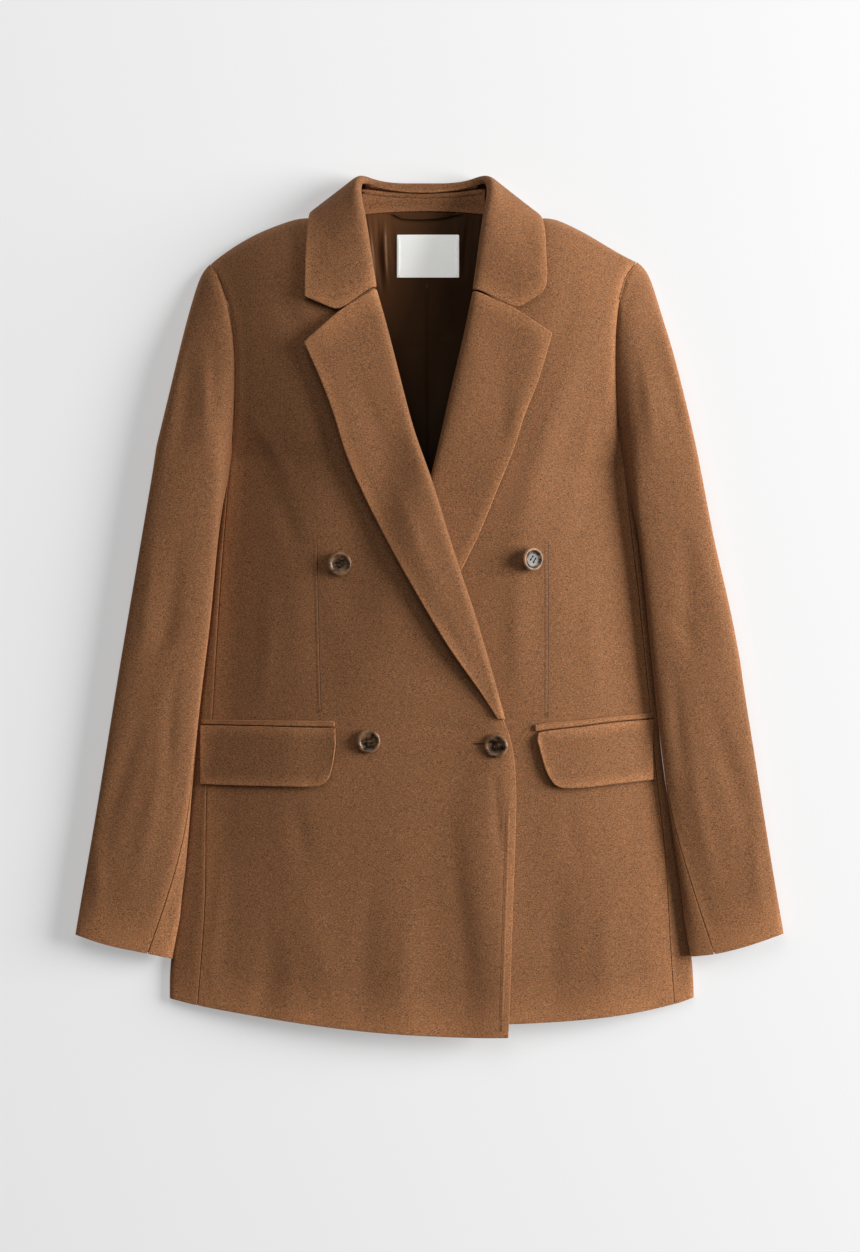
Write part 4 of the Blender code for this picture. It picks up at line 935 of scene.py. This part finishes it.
def turned_button():
    """Mesh of one button about its own axis, dished, with four thread holes."""
    shape = bmesh.new()
    line = [shape.verts.new((radius * MM, 0.0, height * MM)) for radius, height in BUTTON_PROFILE]
    edges = [shape.edges.new(pair) for pair in zip(line, line[1:])]
    bmesh.ops.spin(shape, geom=line + edges, cent=(0, 0, 0), axis=(0, 0, 1), angle=2 * pi, steps=48,
                   use_merge=True)
    bmesh.ops.remove_doubles(shape, verts=shape.verts[:], dist=0.01 * MM)
    bmesh.ops.recalc_face_normals(shape, faces=shape.faces[:])
    blank = placed("button_blank", mesh_of("button_turned", shape))
    drill = bmesh.new()
    for across in (-1, 1):
        for along in (-1, 1):
            made = bmesh.ops.create_cone(drill, cap_ends=True, segments=16, radius1=HOLE_RADIUS * MM,
                                         radius2=HOLE_RADIUS * MM, depth=12 * MM)
            bmesh.ops.translate(drill, verts=made["verts"],
                                vec=Vector((across, along, 0)) * HOLE_OFFSET * MM)
    cutter = placed("button_drill", mesh_of("button_drill", drill))
    cut = blank.modifiers.new("holes", "BOOLEAN")
    cut.operation = "DIFFERENCE"
    cut.solver = "EXACT"
    cut.object = cutter
    graph = bpy.context.evaluated_depsgraph_get()
    finished = bpy.data.meshes.new_from_object(blank.evaluated_get(graph))
    for thing in (blank, cutter):
        bpy.data.objects.remove(thing, do_unlink=True)
    return finished


class BLAZER_OT_buttons(Operator):
    """Horn buttons with their thread"""
    bl_idname = "blazer.buttons"
    bl_label = "Buttons"

    def execute(self, context):
        turned = turned_button()
        thread = plain_ribbed_material("button thread", (0.035, 0.018, 0.010))
        for number, node in enumerate(FRONT_BUTTONS):
            place = button_frame(node)
            front = "front_left_cloth" if node == "button_left_upper" else "front_right_cloth"
            middle = place.translation / MM
            lift = body_relief(np.array([middle.x]), np.array([middle.y]))[0] * MM
            place = Matrix.Translation((0, 0, lift)) @ place
            mesh = turned.copy()
            mesh.name = node + "_horn"
            mesh.transform(place @ button_turn(number))
            radius = mesh.attributes.new("rim", "FLOAT", "POINT")
            back = place.inverted()
            reach = [(back @ vertex.co).xy.length / MM / BUTTON_RADIUS for vertex in mesh.vertices]
            radius.data.foreach_set("value", [min(1.0, share ** 2) for share in reach])
            mesh.materials.clear()
            mesh.materials.append(self.horn())
            mesh.shade_smooth()
            mesh.set_sharp_from_angle(angle=radians(48))
            piece = placed(node + "_horn", mesh)
            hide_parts(node)
            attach(piece, "root")
            self.sew_on(node, place, thread, front, number)
        return {"FINISHED"}

    def horn(self):
        material = grouped_material(
            "clouded horn", horn_group(), {"Dark": (*settings().horn_colour, 1.0)}, 0, None,
            (("Coat Weight", 0.12), ("Coat Roughness", 0.15), ("Specular IOR Level", 0.3)))
        return reads(material, "rim", "Rim")

    def sew_on(self, node, place, thread, front, number):
        """Two bars of three threads over the holes, and the shank that holds the button to the cloth."""
        shape = bmesh.new()
        turn = button_turn(number)
        up = (place.to_3x3() @ Vector((0, 0, 1))).normalized()
        for across in (-1, 1):
            for bar in (-THREAD_GAP, 0.0, THREAD_GAP):
                ends = [Vector((across * HOLE_OFFSET + bar, along * (HOLE_OFFSET + 0.3), THREAD_LEVEL)) * MM
                        for along in (-1, 1)]
                ends = [place @ turn @ end for end in ends]
                add_stitch(shape, *ends, up, THREAD_RADIUS * MM)
        base = place.translation
        ground, _ = on_top(surface_of(front), base.x / MM, base.y / MM)
        top = place @ Vector((0, 0, 0.4 * MM))
        length = (top - ground).length + 0.8 * MM
        made = bmesh.ops.create_cone(shape, cap_ends=True, segments=12, radius1=SHANK_FOOT * MM,
                                     radius2=SHANK_HEAD * MM, depth=length)
        middle = (top + ground) / 2
        tilt = Vector((0, 0, 1)).rotation_difference((top - ground).normalized()).to_matrix().to_4x4()
        bmesh.ops.transform(shape, matrix=Matrix.Translation(middle) @ tilt, verts=made["verts"])
        joined(node + "_thread", shape, thread)


LIGHTS = (
    # name, share of the key light, spread in degrees, distance in metres, direction it comes from
    ("key", 1.0, 36, 4.8, (0.91, 0.12, 0.39)),
    ("top", 0.16, 44, 5.0, (-0.10, 0.60, 0.80)),
)
FILL = 0.07
FLOOR_SHADE, FLOOR_GLOW = 0.57, 0.355      # the floor glows a little too, which softens its shadows
FLOOR_SIZE = 6.0
CAMERA_HEIGHT, VIEW_LENGTH, SENSOR = 4000.0, 1126.8, 36.0
VIEW_MIDDLE = (0.45, -17.65)


class BLAZER_OT_stage(Operator):
    """Pale floor, soft studio light and the camera"""
    bl_idname = "blazer.stage"
    bl_label = "Stage"

    def execute(self, context):
        scene = context.scene
        shape = bmesh.new()
        bmesh.ops.create_grid(shape, x_segments=1, y_segments=1, size=FLOOR_SIZE)
        floor = placed("floor", mesh_of("floor", shape))
        floor.location.z = -0.0002
        material = bpy.data.materials.new("pale floor")
        material.use_nodes = True
        surface = material.node_tree.nodes["Principled BSDF"]
        surface.inputs["Base Color"].default_value = (FLOOR_SHADE, FLOOR_SHADE, FLOOR_SHADE, 1.0)
        surface.inputs["Emission Color"].default_value = (1.0, 1.0, 1.0, 1.0)
        surface.inputs["Emission Strength"].default_value = FLOOR_GLOW
        surface.inputs["Roughness"].default_value = 0.9
        surface.inputs["Specular IOR Level"].default_value = 0.1
        floor.data.materials.append(material)

        for name, share, spread, distance, heading in LIGHTS:
            lamp = bpy.data.lights.new(name, "AREA")
            lamp.shape = "DISK"
            lamp.size = 2 * distance * tan(radians(spread / 2))
            lamp.energy = share * settings().light_power * pi * distance ** 2
            light = placed(name, lamp)
            light.location = Vector(heading).normalized() * distance
            light.rotation_euler = Vector(heading).to_track_quat("Z", "Y").to_euler()
            light.visible_camera = False

        world = bpy.data.worlds.new("studio")
        world.use_nodes = True
        background = world.node_tree.nodes["Background"]
        background.inputs["Color"].default_value = (0.97, 0.98, 1.0, 1.0)
        background.inputs["Strength"].default_value = FILL
        scene.world = world

        camera = bpy.data.cameras.new("camera")
        camera.lens = SENSOR * CAMERA_HEIGHT / VIEW_LENGTH
        camera.sensor_width = SENSOR
        camera.clip_end = 50.0
        viewer = placed("camera", camera)
        viewer.location = Vector((*VIEW_MIDDLE, CAMERA_HEIGHT)) * MM
        scene.camera = viewer
        scene.view_settings.view_transform = "Standard"
        return {"FINISHED"}


# ---------------------------------------------------------------- panel
class BLAZER_PT_sidebar(Panel):
    """Lists the steps that dress the blazer"""
    bl_idname = "BLAZER_PT_sidebar"
    bl_label = "Double Breasted Blazer"
    bl_space_type = "VIEW_3D"
    bl_region_type = "UI"
    bl_category = "Blazer"

    def draw(self, context):
        column = self.layout.column()
        for name in BlazerSettings.__annotations__:
            column.prop(context.scene.blazer, name)
        for step in STEPS:
            column.operator(step.bl_idname)


STEPS = (
    BLAZER_OT_body, BLAZER_OT_sleeves, BLAZER_OT_collar, BLAZER_OT_neck, BLAZER_OT_pockets,
    BLAZER_OT_stitching, BLAZER_OT_buttons, BLAZER_OT_stage,
)
CLASSES = (BlazerSettings, *STEPS, BLAZER_PT_sidebar)


def register():
    for item in CLASSES:
        bpy.utils.register_class(item)
    bpy.types.Scene.blazer = PointerProperty(type=BlazerSettings)


def unregister():
    del bpy.types.Scene.blazer
    for item in reversed(CLASSES):
        bpy.utils.unregister_class(item)


def main():
    register()
    for step in (bpy.ops.blazer.body, bpy.ops.blazer.sleeves, bpy.ops.blazer.collar, bpy.ops.blazer.neck,
                 bpy.ops.blazer.pockets, bpy.ops.blazer.stitching, bpy.ops.blazer.buttons,
                 bpy.ops.blazer.stage):
        step()


if __name__ == "__main__":
    main()
